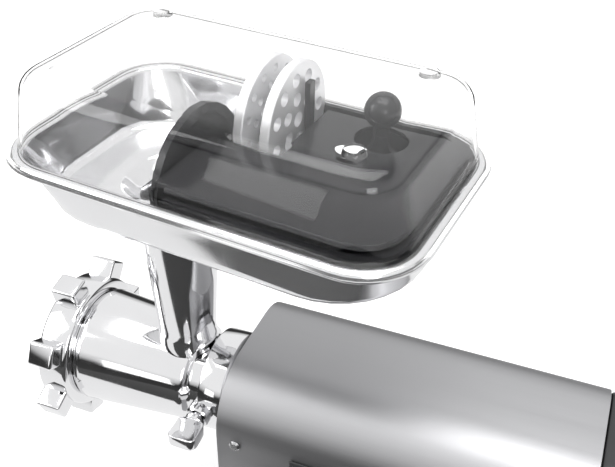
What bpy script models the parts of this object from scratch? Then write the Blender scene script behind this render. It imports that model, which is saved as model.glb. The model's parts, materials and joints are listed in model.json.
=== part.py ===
"""Electric meat grinder, built piece by piece.  Metres, +Z up.

The script's own frame has its X axis on the auger's centre line, pointing from the ring nut to
the motor, and X = 0 on the axis of the feed throat.  One empty, "grinder_origin", carries
every piece and moves that frame so that the table is Z = 0 and the box's middle is the origin.
"""

import math

import bmesh
import bpy
from mathutils import Matrix, Vector

MM = 0.001

# ---- driving sizes, in millimetres -------------------------------------------------------
AXIS_HEIGHT = 118.0          # table to the auger's centre line
GAP = 0.4                    # between neighbouring pieces that touch on the real machine
TURN_GAP = 0.5               # round a piece that turns in a bore

# housing
HOUSING_FRONT = 49.0
HOUSING_LENGTH = 229.0
HOUSING_HALF_WIDTH = 59.0
HOUSING_TOP = 51.0           # above the centre line
HOUSING_BEND = 38.0
SHEET = 1.5
REAR_CAP_DEPTH = 26.0
REAR_CAP_WALL = 2.6
BASE_LIFT = 12.0             # underside of the sheet above the table
BASE_THICKNESS = 3.0
FOOT_RADIUS = 10.0
FOOT_INSET = 19.0
GLAND_REACH = 12.0           # cord gland beyond the rear face

# control panel
PANEL_START = 100.0
PANEL_LENGTH = 84.0
PANEL_TOP = 11.0
PANEL_HEIGHT = 44.0
PANEL_PROUD = 1.6
ROCKER_LENGTH = 21.0
ROCKER_HEIGHT = 28.0
ROCKER_TILT = math.radians(7)
BUTTON_RADIUS = 9.0
BUTTON_TRAVEL = 3.0

# grinding head
BARREL_FRONT = -90.0
BARREL_FRONT_RADIUS = 41.0
BARREL_REAR_RADIUS = 35.0
BARREL_BORE = 32.0
THREAD_RADIUS = 39.0
NECK_RADIUS = 29.0
THROAT_TOP = 149.2
THROAT_TOP_RADIUS = 26.0
THROAT_FOOT_RADIUS = 19.5
THROAT_WALL = 3.0
PLATE_RADIUS = 35.0
PLATE_THICKNESS = 6.0
AUGER_RADIUS = 30.5
AUGER_PITCH = 27.0
AUGER_CORE = 12.0
TANG = 13.0                  # square tang across flats
NUT_RADIUS = 47.5
NUT_LENGTH = 23.0
NUT_LOBES = 7
LOBE_REACH = 12.5
LOBE_WIDTH = 17.0

# clamp collar and knob
COLLAR_START = 21.5
COLLAR_LENGTH = 18.0
COLLAR_RADIUS = 36.0
KNOB_SHANK = 4.0
KNOB_FORWARD = 5.5           # ahead of the collar's middle
KNOB_REACH = 20.0
KNOB_WIDTH = 21.0
KNOB_INNER_WIDTH = 20.0
KNOB_THICKNESS = 9.5

# pan and lid
PAN_YAW = math.radians(-6.2)
PAN_LENGTH = 250.0
PAN_WIDTH = 153.0
PAN_CORNER = 35.0
PAN_DEPTH = 35.0
PAN_FLOOR_INSET = 9.0
PAN_FLOOR_CORNER = 59.0      # measured at the pan's edge, like PAN_CORNER
PAN_SHEET = 1.2
PAN_RIM = 6.0
PAN_CENTRE = 52.5            # throat axis to the middle of the pan
PAN_RIM_HEIGHT = 194.0       # above the centre line
HOLE_RADIUS = 32.0
SPOUT_DEPTH = 20.0           # below the throat's mouth
LID_HEIGHT = 46.0
LID_WALL = 2.2
LID_DRAFT = 5.0
LID_OVERHANG = 3.4           # outside of the pan's rim
LID_ROUND = 13.0
LID_FOOT_RADIUS = 6.5
LID_FOOT_HEIGHT = 3.0
LID_FOOT_ALONG = 87.0
LID_FOOT_ACROSS = 47.6

# accessory caddy and what stands in it
CADDY_START = 30.0
CADDY_WALL = 2.4
CADDY_CLEARANCE = 1.4
CADDY_RISE = 3.0             # its wall above the pan's rim
ARCH_RADIUS = 42.0
ARCH_SIDE = -21.0
ARCH_DROP = 14.0             # its centre below the tray's edge
ARCH_STEP = 12.0             # the near wall is cut low this far behind the arched plate
ARCH_RIM = 6.0
DIVIDER_SIDE = -9.0
COVER_RISE = 9.0             # top of the caddy's cover above the pan's rim
COVER_SHEET = 3.0
COVER_FAR_SIDE = 50.0
SPARE_ALONG = (46.0, 63.0)
SPARE_ACROSS = 30.5
SPARE_HEIGHT = 9.0           # centre of the spare plates above the pan's rim
POST_RISE = 31.0
BADGE_ALONG = PAN_CENTRE + PAN_LENGTH / 2 - 66.5
BADGE_ACROSS = 10.0
STOMPER_RADIUS = 14.0
STOMPER_ALONG = PAN_CENTRE + PAN_LENGTH / 2 - 57.5
STOMPER_ACROSS = 33.0
STOMPER_BALL = 10.5
STOMPER_BALL_HEIGHT = 27.0

# drive train: module, teeth and widths
OUTPUT_MODULE = 1.5
OUTPUT_TEETH = 60
IDLER_PINION_TEETH = 10
OUTPUT_GEAR_START = 64.0
OUTPUT_GEAR_WIDTH = 11.0
MOTOR_MODULE = 1.0
IDLER_WHEEL_TEETH = 63
MOTOR_PINION_TEETH = 9
IDLER_WHEEL_START = 99.0
IDLER_WHEEL_WIDTH = 8.0
CASE_PLATE_START = 54.0
CASE_PLATE_THICKNESS = 4.0
COVER_START = 84.0
COVER_THICKNESS = 3.5
CASE_HALF_WIDTH = 42.0
CASE_TOP = 40.0
CASE_BOTTOM = -92.0
CASE_CHAMFER = 3.0
PILLAR_RADIUS = 3.5
OUTPUT_SHAFT_RADIUS = 8.0
OUTPUT_HUB_RADIUS = 13.0
IDLER_SHAFT_RADIUS = 4.0
MOTOR_SHAFT_RADIUS = 2.6
BEARING_WALL = 4.0
STATOR_START = 126.0
STATOR_LENGTH = 56.0
STATOR_HALF = 36.0
ROTOR_RADIUS = 21.5
AIR_GAP = 1.0
BRACKET_THICKNESS = 4.0
FAN_RADIUS = 31.0
FAN_BLADES = 7

# ---- places that follow from them --------------------------------------------------------
HOUSING_REAR = HOUSING_FRONT + HOUSING_LENGTH
REAR_FACE = HOUSING_REAR + REAR_CAP_DEPTH
BASE_LEVEL = BASE_LIFT - AXIS_HEIGHT
NUT_FRONT = BARREL_FRONT - PLATE_THICKNESS - 1.0
NUT_REAR = NUT_FRONT + NUT_LENGTH
IDLER_DROP = OUTPUT_MODULE * (OUTPUT_TEETH + IDLER_PINION_TEETH) / 2
IDLER_Z = -IDLER_DROP
MOTOR_Z = IDLER_Z + MOTOR_MODULE * (IDLER_WHEEL_TEETH + MOTOR_PINION_TEETH) / 2
KNOB_X = COLLAR_START + COLLAR_LENGTH / 2 - KNOB_FORWARD
PAN_FLOOR = PAN_RIM_HEIGHT - PAN_DEPTH
COLLAR_BORE = NECK_RADIUS + GAP
NOSE_START = COLLAR_START + COLLAR_LENGTH + 8.0
NECK_END = NOSE_START - 1.0

# ---- the scene ---------------------------------------------------------------------------
for old in list(bpy.data.objects):
    bpy.data.objects.remove(old, do_unlink=True)
parts = bpy.data.collections.new("electric_meat_grinder")
cutters = bpy.data.collections.new("cutters")
bpy.context.scene.collection.children.link(parts)
bpy.context.scene.collection.children.link(cutters)

origin = bpy.data.objects.new("grinder_origin", None)
parts.objects.link(origin)
origin.location = Vector(
    (-(NUT_FRONT + REAR_FACE + GLAND_REACH) / 2, -PAN_CENTRE * math.sin(PAN_YAW), AXIS_HEIGHT)
) * MM


def material(name, colour, roughness, metallic, alpha=1.0):
    made = bpy.data.materials.new(name)
    made.use_nodes = True
    shader = made.node_tree.nodes["Principled BSDF"]
    shader.inputs["Base Color"].default_value = (*colour, 1.0)
    shader.inputs["Roughness"].default_value = roughness
    shader.inputs["Metallic"].default_value = metallic
    shader.inputs["Alpha"].default_value = alpha
    return made


BRUSHED = material("brushed_steel", (0.52, 0.52, 0.53), 0.35, 1.0)
POLISHED = material("polished_steel", (0.82, 0.82, 0.83), 0.12, 1.0)
CAST = material("cast_metal", (0.6, 0.6, 0.61), 0.45, 1.0)
STEEL = material("machined_steel", (0.55, 0.55, 0.56), 0.3, 1.0)
BLACK = material("black_plastic", (0.02, 0.02, 0.022), 0.35, 0.0)
RUBBER = material("rubber", (0.03, 0.03, 0.03), 0.8, 0.0)
CLEAR = material("clear_plastic", (0.93, 0.95, 0.95), 0.05, 0.0, 0.3)
COPPER = material("enamelled_copper", (0.7, 0.3, 0.12), 0.4, 1.0)
NYLON = material("gear_nylon", (0.85, 0.83, 0.76), 0.5, 0.0)

ALONG_X = Matrix.Rotation(math.pi / 2, 4, "Y")     # turns a piece's own Z axis to +X
TOWARDS_Y = Matrix.Rotation(math.pi / 2, 4, "X")   # turns a piece's own Z axis to -Y


def place(name, mesh, finish, at=(0, 0, 0), turn=None, cutter=False):
    """An object whose own origin is the point `at` of the script's frame, in millimetres."""
    made = bpy.data.objects.new(name, mesh)
    (cutters if cutter else parts).objects.link(made)
    made.parent = origin
    made.matrix_local = Matrix.Translation(Vector(at) * MM) @ (turn or Matrix())
    if cutter:
        made.hide_render = True
        made.display_type = "WIRE"
    else:
        mesh.materials.append(finish)
    return made


def mesh_of(name, work):
    """Writes a bmesh in millimetres to a mesh in metres."""
    bmesh.ops.scale(work, vec=(MM, MM, MM), verts=work.verts)
    mesh = bpy.data.meshes.new(name)
    work.to_mesh(mesh)
    work.free()
    return mesh


def bevelled(made, width, segments=2, angle=40):
    rounding = made.modifiers.new("rounded_edges", "BEVEL")
    rounding.width = width * MM
    rounding.segments = segments
    rounding.limit_method = "ANGLE"
    rounding.angle_limit = math.radians(angle)
    return made


def block(name, low, high, finish=None, at=None, turn=None, cutter=False):
    """A box between two corners of the script's frame, its origin at `at` or at its middle."""
    low, high = Vector(low), Vector(high)
    anchor = Vector(at) if at is not None else (low + high) / 2
    work = bmesh.new()
    bmesh.ops.create_cube(work, size=1.0)
    bmesh.ops.scale(work, vec=high - low, verts=work.verts)
    bmesh.ops.translate(work, vec=(low + high) / 2 - anchor, verts=work.verts)
    return place(name, mesh_of(name, work), finish, anchor, turn, cutter)


def cylinder(name, radius, length, finish=None, at=(0, 0, 0), turn=ALONG_X, sides=28,
             cutter=False, end_radius=None):
    """A cylinder or cone that starts at `at` and runs `length` along its turned Z axis."""
    work = bmesh.new()
    bmesh.ops.create_cone(
        work, cap_ends=True, segments=sides, radius1=radius,
        radius2=radius if end_radius is None else end_radius, depth=length,
    )
    bmesh.ops.translate(work, vec=(0, 0, length / 2), verts=work.verts)
    made = place(name, mesh_of(name, work), finish, at, turn, cutter)
    return smooth(made)


def turned(name, profile, finish=None, at=(0, 0, 0), turn=ALONG_X, sides=40, cutter=False):
    """A profile of (radius, height) points turned round its own Z axis.

    The points run from the top down the outer side.  A profile that ends off the axis at both
    ends is closed into a ring.
    """
    work = bmesh.new()
    corners = [work.verts.new((radius, 0, height)) for radius, height in profile]
    edges = list(zip(corners, corners[1:]))
    if profile[0][0] > 0:
        edges.append((corners[-1], corners[0]))
    for pair in edges:
        work.edges.new(pair)
    made = place(name, mesh_of(name, work), finish, at, turn, cutter)
    screw = made.modifiers.new("turned", "SCREW")
    screw.axis = "Z"
    screw.steps = sides
    screw.render_steps = sides
    screw.use_merge_vertices = True
    screw.merge_threshold = 0.00001
    screw.use_smooth_shade = False
    return made


def smooth(made, angle=35):
    made.data.shade_smooth()
    made.data.set_sharp_from_angle(angle=math.radians(angle))
    return made


def boolean(made, other, operation):
    step = made.modifiers.new(other.name, "BOOLEAN")
    step.operation = operation
    step.object = other
    step.solver = "EXACT"
    return made


def cut(made, *others):
    for other in others:
        boolean(made, other, "DIFFERENCE")
    return made


def join(made, *others):
    for other in others:
        boolean(made, other, "UNION")
    return made


def arc(centre, radius, start, end, steps):
    """Points of an arc, in degrees, as (first, second) pairs."""
    angles = [math.radians(start + (end - start) * i / steps) for i in range(steps + 1)]
    return [
        (centre[0] + radius * math.cos(a), centre[1] + radius * math.sin(a)) for a in angles
    ]


def prism(name, outline, start, length, finish=None, at=(0, 0, 0), cutter=False):
    """An outline of (y, z) points carried along X from `start`."""
    work = bmesh.new()
    corners = [work.verts.new((start - at[0], y - at[1], z - at[2])) for y, z in outline]
    face = work.faces.new(corners)
    swept = bmesh.ops.extrude_face_region(work, geom=[face])
    moved = [v for v in swept["geom"] if isinstance(v, bmesh.types.BMVert)]
    bmesh.ops.translate(work, vec=(length, 0, 0), verts=moved)
    bmesh.ops.recalc_face_normals(work, faces=work.faces)
    return place(name, mesh_of(name, work), finish, at, None, cutter)


# ---- housing -----------------------------------------------------------------------------
def housing_outline(inset, bottom, steps=8):
    """The rounded arch of the housing, `inset` inside its outer skin, as (y, z) points."""
    half = HOUSING_HALF_WIDTH - inset
    bend = HOUSING_BEND - inset
    side = half - bend
    top = HOUSING_TOP - inset - bend
    right = [(half, bottom)] + arc((side, top), bend, 0, 90, steps)
    return right + [(-y, z) for y, z in reversed(right)]


work = bmesh.new()
edge = [work.verts.new((0, y, z)) for y, z in housing_outline(0, BASE_LEVEL)]
strip = [work.edges.new(pair) for pair in zip(edge, edge[1:])]
swept = bmesh.ops.extrude_edge_only(work, edges=strip)
moved = [v for v in swept["geom"] if isinstance(v, bmesh.types.BMVert)]
bmesh.ops.translate(work, vec=(HOUSING_LENGTH, 0, 0), verts=moved)
bmesh.ops.recalc_face_normals(work, faces=work.faces)
if sum(f.normal.z for f in work.faces) < 0:
    bmesh.ops.reverse_faces(work, faces=work.faces)
wrap = place("housing_wrap", mesh_of("housing_wrap", work), BRUSHED, (HOUSING_FRONT, 0, 0))
skin = wrap.modifiers.new("sheet", "SOLIDIFY")
skin.thickness = SHEET * MM
skin.offset = -1

PANEL_MIDDLE = PANEL_TOP - PANEL_HEIGHT / 2
PANEL_LIP = 3.0
opening_low = (PANEL_START + PANEL_LIP, -HOUSING_HALF_WIDTH - 5, PANEL_TOP - PANEL_HEIGHT + PANEL_LIP)
opening_high = (PANEL_START + PANEL_LENGTH - PANEL_LIP, -HOUSING_HALF_WIDTH + 5, PANEL_TOP - PANEL_LIP)
cut(wrap, block("panel_opening", opening_low, opening_high, cutter=True))

SIDE_SCREW_X = HOUSING_FRONT + 13.0
SIDE_SCREW_Z = 7.5
SIDE_SCREW_RADIUS = 2.2
for side, sign in (("near", -1), ("far", 1)):
    across = TOWARDS_Y if sign < 0 else TOWARDS_Y.inverted()
    skin_y = sign * HOUSING_HALF_WIDTH
    hole = cylinder(
        f"{side}_screw_hole", SIDE_SCREW_RADIUS + GAP, 12,
        at=(SIDE_SCREW_X, skin_y - sign * 6, SIDE_SCREW_Z), turn=across, sides=16, cutter=True,
    )
    cut(wrap, hole)
    turned(
        f"side_screw_{side}",
        [(0, 2.0), (2.6, 2.0), (4.0, 0.9), (4.0, GAP), (SIDE_SCREW_RADIUS, GAP),
         (SIDE_SCREW_RADIUS, -9.0), (0, -9.0)],
        STEEL, at=(SIDE_SCREW_X, skin_y, SIDE_SCREW_Z), turn=across, sides=12,
    )

front_inset = SHEET + GAP
FRONT_PANEL_START = HOUSING_FRONT + 0.6
FRONT_PANEL_THICKNESS = 3.0
front = prism(
    "front_panel", housing_outline(front_inset, BASE_LEVEL + BASE_THICKNESS + GAP),
    FRONT_PANEL_START, FRONT_PANEL_THICKNESS, BRUSHED,
)
NOSE_RADIUS = 25.0
cut(front, cylinder("nose_hole", NOSE_RADIUS + GAP, 20, at=(HOUSING_FRONT - 5, 0, 0), cutter=True))

CAP_START = HOUSING_REAR + GAP
cap = prism("rear_cap", housing_outline(0.8, BASE_LEVEL), CAP_START, REAR_CAP_DEPTH - GAP, BLACK)
bevelled(cap, 3.0, 2, 60)
cap_hollow = prism(
    "cap_hollow", housing_outline(0.8 + REAR_CAP_WALL, BASE_LEVEL + REAR_CAP_WALL),
    CAP_START - 4, REAR_CAP_DEPTH - REAR_CAP_WALL + 4 - GAP, cutter=True,
)
cut(cap, cap_hollow)
VENT_COUNT = 6
VENT_PITCH = 9.0
VENT_HEIGHT = 4.0
VENT_HALF_LENGTH = 34.0
VENT_TOP = 22.0
for i in range(VENT_COUNT):
    level = VENT_TOP - i * VENT_PITCH
    slot = block(
        f"vent_{i}", (REAR_FACE - 10, -VENT_HALF_LENGTH, level - VENT_HEIGHT / 2),
        (REAR_FACE + 10, VENT_HALF_LENGTH, level + VENT_HEIGHT / 2), cutter=True,
    )
    cut(cap, slot)

GLAND_Y = 34.0
GLAND_Z = BASE_LEVEL + 22.0
GLAND_RADIUS = 7.0
GLAND_BORE = 3.8
cut(cap, cylinder("gland_hole", GLAND_RADIUS + GAP, 20, at=(REAR_FACE - 12, GLAND_Y, GLAND_Z),
                  sides=16, cutter=True))
turned(
    "cord_gland",
    [(GLAND_RADIUS - 1.5, GLAND_REACH), (GLAND_RADIUS + 2.5, GAP + 2.0), (GLAND_RADIUS + 2.5, GAP),
     (GLAND_RADIUS, GAP), (GLAND_RADIUS, -REAR_CAP_WALL - 2.0), (GLAND_BORE, -REAR_CAP_WALL - 2.0),
     (GLAND_BORE, GLAND_REACH)],
    RUBBER, at=(REAR_FACE, GLAND_Y, GLAND_Z), sides=16,
)

base = block(
    "base_plate", (HOUSING_FRONT + 1, -HOUSING_HALF_WIDTH + SHEET + GAP, BASE_LEVEL),
    (HOUSING_REAR - 1, HOUSING_HALF_WIDTH - SHEET - GAP, BASE_LEVEL + BASE_THICKNESS), BLACK,
)
FOOT_SCREW = 2.0
foot_places = [
    (x, y)
    for x in (HOUSING_FRONT + FOOT_INSET, HOUSING_REAR - FOOT_INSET)
    for y in (-HOUSING_HALF_WIDTH + FOOT_INSET, HOUSING_HALF_WIDTH - FOOT_INSET)
]
for i, (x, y) in enumerate(foot_places, start=1):
    foot_top = BASE_LIFT - GAP
    turned(
        f"foot_{i}",
        [(FOOT_RADIUS - 1.0, foot_top), (FOOT_RADIUS, foot_top - 1.5), (FOOT_RADIUS - 1.5, 0),
         (FOOT_SCREW + 3.4, 0), (FOOT_SCREW + 3.4, 5.0), (FOOT_SCREW + GAP, 5.0),
         (FOOT_SCREW + GAP, foot_top)],
        RUBBER, at=(x, y, -AXIS_HEIGHT), turn=Matrix(), sides=12,
    )
    cut(base, cylinder(f"foot_hole_{i}", FOOT_SCREW + GAP, 12, at=(x, y, BASE_LEVEL - 4),
                       turn=Matrix(), sides=12, cutter=True))
    turned(
        f"foot_screw_{i}",
        [(0, BASE_LIFT + BASE_THICKNESS + 3), (FOOT_SCREW, BASE_LIFT + BASE_THICKNESS + 3),
         (FOOT_SCREW, 5.0 - GAP), (FOOT_SCREW + 2.6, 5.0 - GAP), (FOOT_SCREW + 1.6, 2.4), (0, 2.4)],
        STEEL, at=(x, y, -AXIS_HEIGHT), turn=Matrix(), sides=8,
    )

# ---- control panel, rocker switch and reverse button --------------------------------------
panel_face = -HOUSING_HALF_WIDTH - PANEL_PROUD - GAP
bezel = block(
    "control_panel", (PANEL_START, panel_face, PANEL_TOP - PANEL_HEIGHT),
    (PANEL_START + PANEL_LENGTH, -HOUSING_HALF_WIDTH - GAP, PANEL_TOP), BLACK,
)
bevelled(bezel, 0.9)
PANEL_DEEP = 7.0
join(bezel, block(
    "panel_back",
    (opening_low[0] + GAP, -HOUSING_HALF_WIDTH - 1.0, opening_low[2] + GAP),
    (opening_high[0] - GAP, -HOUSING_HALF_WIDTH + PANEL_DEEP, opening_high[2] - GAP), cutter=True,
))
ROCKER_X = PANEL_START + 24.0
BUTTON_X = PANEL_START + PANEL_LENGTH - 24.0
cut(
    bezel,
    block("rocker_well",
          (ROCKER_X - ROCKER_LENGTH / 2 - TURN_GAP, panel_face - 5,
           PANEL_MIDDLE - ROCKER_HEIGHT / 2 - TURN_GAP),
          (ROCKER_X + ROCKER_LENGTH / 2 + TURN_GAP, -HOUSING_HALF_WIDTH + PANEL_DEEP + 5,
           PANEL_MIDDLE + ROCKER_HEIGHT / 2 + TURN_GAP), cutter=True),
    cylinder("button_well", BUTTON_RADIUS + TURN_GAP, 30,
             at=(BUTTON_X, -HOUSING_HALF_WIDTH + 15, PANEL_MIDDLE), turn=TOWARDS_Y, cutter=True),
)
# The rocker's two halves slope away from its pivot line, so it stands tipped at rest.
ROCKER_PIVOT_DEPTH = 2.0
ROCKER_CROWN = 2.2
half = ROCKER_HEIGHT / 2 - 0.6
rocker_outline = [
    (-ROCKER_CROWN - 2.6, -half), (-ROCKER_CROWN - 0.4, 0), (-ROCKER_CROWN - 2.6, half),
    (3.4, half * 0.8), (3.4, -half * 0.8),
]
rocker_pivot = (ROCKER_X, panel_face + ROCKER_PIVOT_DEPTH, PANEL_MIDDLE)
rocker = prism(
    "power_rocker",
    [(y + rocker_pivot[1], z + rocker_pivot[2]) for y, z in rocker_outline],
    ROCKER_X - ROCKER_LENGTH / 2, ROCKER_LENGTH, BLACK, at=rocker_pivot,
)
rocker.matrix_local = Matrix.Translation(Vector(rocker_pivot) * MM) @ Matrix.Rotation(-ROCKER_TILT, 4, "X")
turned(
    "reverse_button",
    [(0, PANEL_PROUD + BUTTON_TRAVEL), (BUTTON_RADIUS - 1.2, PANEL_PROUD + BUTTON_TRAVEL),
     (BUTTON_RADIUS, PANEL_PROUD + BUTTON_TRAVEL - 1.0), (BUTTON_RADIUS, -5.0), (0, -5.0)],
    BLACK, at=(BUTTON_X, -HOUSING_HALF_WIDTH - GAP, PANEL_MIDDLE), turn=TOWARDS_Y, sides=24,
)

# ---- gear train ---------------------------------------------------------------------------
def gear(name, module, teeth, start, width, centre_z, bore, finish, first_gap=False):
    """A straight-toothed gear on an axis along X; its first tooth, or gap, points up (+Z)."""
    pitch = module * teeth / 2
    tip = pitch + 0.85 * module
    root = pitch - 1.15 * module
    step = 2 * math.pi / teeth
    shift = step / 2 if first_gap else 0.0
    outline = []
    for i in range(teeth):
        middle = math.pi / 2 + shift + i * step
        for radius, part in ((root, -0.25), (tip, -0.11), (tip, 0.11), (root, 0.25)):
            angle = middle + part * step
            outline.append((radius * math.cos(angle), centre_z + radius * math.sin(angle)))
    made = prism(name, outline, start, width, finish, at=(start, 0, centre_z))
    drill = cylinder(f"{name}_bore", bore, width + 8, at=(start - 4, 0, centre_z), sides=16,
                     cutter=True)
    return cut(made, drill)


# The output gear has a gap at the bottom, where the idler's pinion, above its own axis, has a
# tooth.  An even count with a gap at the top has one at the bottom too.
gear("output_gear", OUTPUT_MODULE, OUTPUT_TEETH, OUTPUT_GEAR_START, OUTPUT_GEAR_WIDTH, 0.0,
     OUTPUT_SHAFT_RADIUS + GAP, STEEL, first_gap=True)
gear("idler_pinion", OUTPUT_MODULE, IDLER_PINION_TEETH, OUTPUT_GEAR_START - 1,
     OUTPUT_GEAR_WIDTH + 3, IDLER_Z, IDLER_SHAFT_RADIUS + GAP, STEEL)
# The idler's wheel has a tooth at the top, and the motor's pinion, with an odd count and its
# first tooth at the top, has a gap at the bottom.
gear("idler_wheel", MOTOR_MODULE, IDLER_WHEEL_TEETH, IDLER_WHEEL_START, IDLER_WHEEL_WIDTH,
     IDLER_Z, IDLER_SHAFT_RADIUS + GAP, NYLON)
gear("motor_pinion", MOTOR_MODULE, MOTOR_PINION_TEETH, IDLER_WHEEL_START - 2,
     IDLER_WHEEL_WIDTH + 3, MOTOR_Z, MOTOR_SHAFT_RADIUS + GAP / 2, STEEL)

HUB_START = 26.0
HUB_END = CASE_PLATE_START + CASE_PLATE_THICKNESS + 1.0
SHAFT_END = COVER_START + COVER_THICKNESS + 6.0
hub_length = HUB_END - HUB_START
shaft = turned(
    "output_shaft",
    [(0, SHAFT_END - HUB_START), (OUTPUT_SHAFT_RADIUS, SHAFT_END - HUB_START),
     (OUTPUT_SHAFT_RADIUS, hub_length), (OUTPUT_HUB_RADIUS, hub_length),
     (OUTPUT_HUB_RADIUS, 0), (0, 0)],
    STEEL, at=(HUB_START, 0, 0), sides=24,
)
SOCKET_DEPTH = 22.0
socket_half = TANG / 2 + GAP
cut(shaft, block("drive_socket", (HUB_START - 5, -socket_half, -socket_half),
                 (HUB_START + SOCKET_DEPTH, socket_half, socket_half), cutter=True))
turned(
    "idler_shaft",
    [(0, 62.0), (IDLER_SHAFT_RADIUS, 62.0), (IDLER_SHAFT_RADIUS, 0), (0, 0)],
    STEEL, at=(CASE_PLATE_START + 1.0, 0, IDLER_Z), sides=16,
)


def ring_piece(name, inner, outer, start, length, finish, z=0.0, sides=18):
    """A plain ring on an axis along X."""
    return turned(name, [(outer, length), (outer, 0), (inner, 0), (inner, length)], finish,
                  at=(start, 0, z), sides=sides)


FRONT_BEARING_OUTER = OUTPUT_HUB_RADIUS + TURN_GAP + BEARING_WALL
ring_piece("output_front_bearing", OUTPUT_HUB_RADIUS + TURN_GAP, FRONT_BEARING_OUTER,
           NOSE_START + 0.5, 10.0, STEEL)
REAR_BEARING_OUTER = OUTPUT_SHAFT_RADIUS + TURN_GAP + BEARING_WALL
ring_piece("output_rear_bearing", OUTPUT_SHAFT_RADIUS + TURN_GAP, REAR_BEARING_OUTER,
           COVER_START - 1.5, 6.5, STEEL)

# gearbox case: a plate with a nose in front that carries the collar, and four pillars behind
case_outline = [
    (-CASE_HALF_WIDTH, CASE_BOTTOM), (CASE_HALF_WIDTH, CASE_BOTTOM),
    (CASE_HALF_WIDTH, CASE_TOP - CASE_CHAMFER), (CASE_HALF_WIDTH - CASE_CHAMFER, CASE_TOP),
    (-CASE_HALF_WIDTH + CASE_CHAMFER, CASE_TOP), (-CASE_HALF_WIDTH, CASE_TOP - CASE_CHAMFER),
]
case = prism("gearbox_case", case_outline, CASE_PLATE_START, CASE_PLATE_THICKNESS, CAST)
nose = cylinder("case_nose", NOSE_RADIUS, CASE_PLATE_START + 1 - NOSE_START, at=(NOSE_START, 0, 0),
                cutter=True)
join(case, nose)
cut(case, cylinder("case_bore", FRONT_BEARING_OUTER + GAP, 40, at=(NOSE_START - 5, 0, 0), cutter=True))
cut(case, cylinder("idler_front_hole", IDLER_SHAFT_RADIUS + TURN_GAP, 20,
                   at=(CASE_PLATE_START - 5, 0, IDLER_Z), sides=24, cutter=True))
pillars = [
    (sign * (CASE_HALF_WIDTH - 4.6), z)
    for sign in (-1, 1)
    for z in (CASE_TOP - 4.8, CASE_BOTTOM + 8.0)
]
for i, (y, z) in enumerate(pillars, start=1):
    join(case, cylinder(
        f"pillar_{i}", PILLAR_RADIUS, COVER_START - GAP - CASE_PLATE_START - 1,
        at=(CASE_PLATE_START + 1, y, z), sides=16, cutter=True,
    ))
cover = prism("gearbox_cover", case_outline, COVER_START, COVER_THICKNESS, CAST)
cut(
    cover,
    cylinder("rear_bearing_hole", REAR_BEARING_OUTER + GAP, 20, at=(COVER_START - 5, 0, 0), cutter=True),
    cylinder("idler_rear_hole", IDLER_SHAFT_RADIUS + TURN_GAP, 20, at=(COVER_START - 5, 0, IDLER_Z),
             sides=24, cutter=True),
)
for i, (y, z) in enumerate(pillars, start=1):
    cut(cover, cylinder(f"cover_screw_hole_{i}", 1.6 + GAP, 20, at=(COVER_START - 5, y, z),
                        sides=12, cutter=True))

# ---- motor --------------------------------------------------------------------------------
MOTOR_SHAFT_START = IDLER_WHEEL_START - 5.0
MOTOR_SHAFT_END = STATOR_START + STATOR_LENGTH + 62.0
FRONT_BRACKET = STATOR_START - 14.0
REAR_BRACKET = STATOR_START + STATOR_LENGTH + 26.0
BEARING_INNER = MOTOR_SHAFT_RADIUS + TURN_GAP
BEARING_OUTER = BEARING_INNER + BEARING_WALL
turned(
    "motor_shaft",
    [(0, MOTOR_SHAFT_END - MOTOR_SHAFT_START), (MOTOR_SHAFT_RADIUS, MOTOR_SHAFT_END - MOTOR_SHAFT_START),
     (MOTOR_SHAFT_RADIUS, 0), (0, 0)],
    STEEL, at=(MOTOR_SHAFT_START, 0, MOTOR_Z), sides=12,
)
ring_piece("rotor_core", MOTOR_SHAFT_RADIUS + GAP, ROTOR_RADIUS, STATOR_START + 1,
           STATOR_LENGTH - 2, STEEL, MOTOR_Z)
ring_piece("commutator", MOTOR_SHAFT_RADIUS + GAP, 11.0, STATOR_START + STATOR_LENGTH + 6, 14.0,
           COPPER, MOTOR_Z)
stator = block(
    "motor_stator", (STATOR_START, -STATOR_HALF, MOTOR_Z - STATOR_HALF),
    (STATOR_START + STATOR_LENGTH, STATOR_HALF, MOTOR_Z + STATOR_HALF), STEEL,
    at=(STATOR_START, 0, MOTOR_Z),
)
bevelled(stator, 8.0, 2, 60)
cut(stator, cylinder("stator_bore", ROTOR_RADIUS + AIR_GAP, STATOR_LENGTH + 20,
                     at=(STATOR_START - 10, 0, MOTOR_Z), cutter=True))
COIL_DEPTH = 8.0
for name, start in (
    ("front_field_coil", STATOR_START - GAP - COIL_DEPTH),
    ("rear_field_coil", STATOR_START + STATOR_LENGTH + GAP),
):
    ring_piece(name, ROTOR_RADIUS + 1.5, STATOR_HALF - 4.0, start, COIL_DEPTH, COPPER, MOTOR_Z)
for name, start in (("front_motor_bracket", FRONT_BRACKET), ("rear_motor_bracket", REAR_BRACKET)):
    # Each bracket stands on the base plate and holds a bearing.
    bracket = block(
        name, (start, -STATOR_HALF, BASE_LEVEL + BASE_THICKNESS + GAP),
        (start + BRACKET_THICKNESS, STATOR_HALF, MOTOR_Z + STATOR_HALF), CAST,
    )
    cut(bracket, cylinder(f"{name}_hole", BEARING_OUTER + GAP, 20, at=(start - 5, 0, MOTOR_Z),
                          sides=24, cutter=True))
    if start == FRONT_BRACKET:
        cut(bracket, cylinder("idler_end_hole", IDLER_SHAFT_RADIUS + TURN_GAP, 20,
                              at=(start - 5, 0, IDLER_Z), sides=24, cutter=True))
    else:
        # air from the fan goes forward through these windows
        for sign in (-1, 1):
            window = (sign * 14.0, sign * (STATOR_HALF - 5))
            cut(bracket, block(f"air_window_{sign + 2}", (start - 5, min(window), MOTOR_Z - 24),
                               (start + 10, max(window), MOTOR_Z + 24), cutter=True))
    ring_piece(name.replace("motor_bracket", "motor_bearing"), BEARING_INNER, BEARING_OUTER,
               start - 1.0, BRACKET_THICKNESS + 2.0, STEEL, MOTOR_Z)
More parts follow.
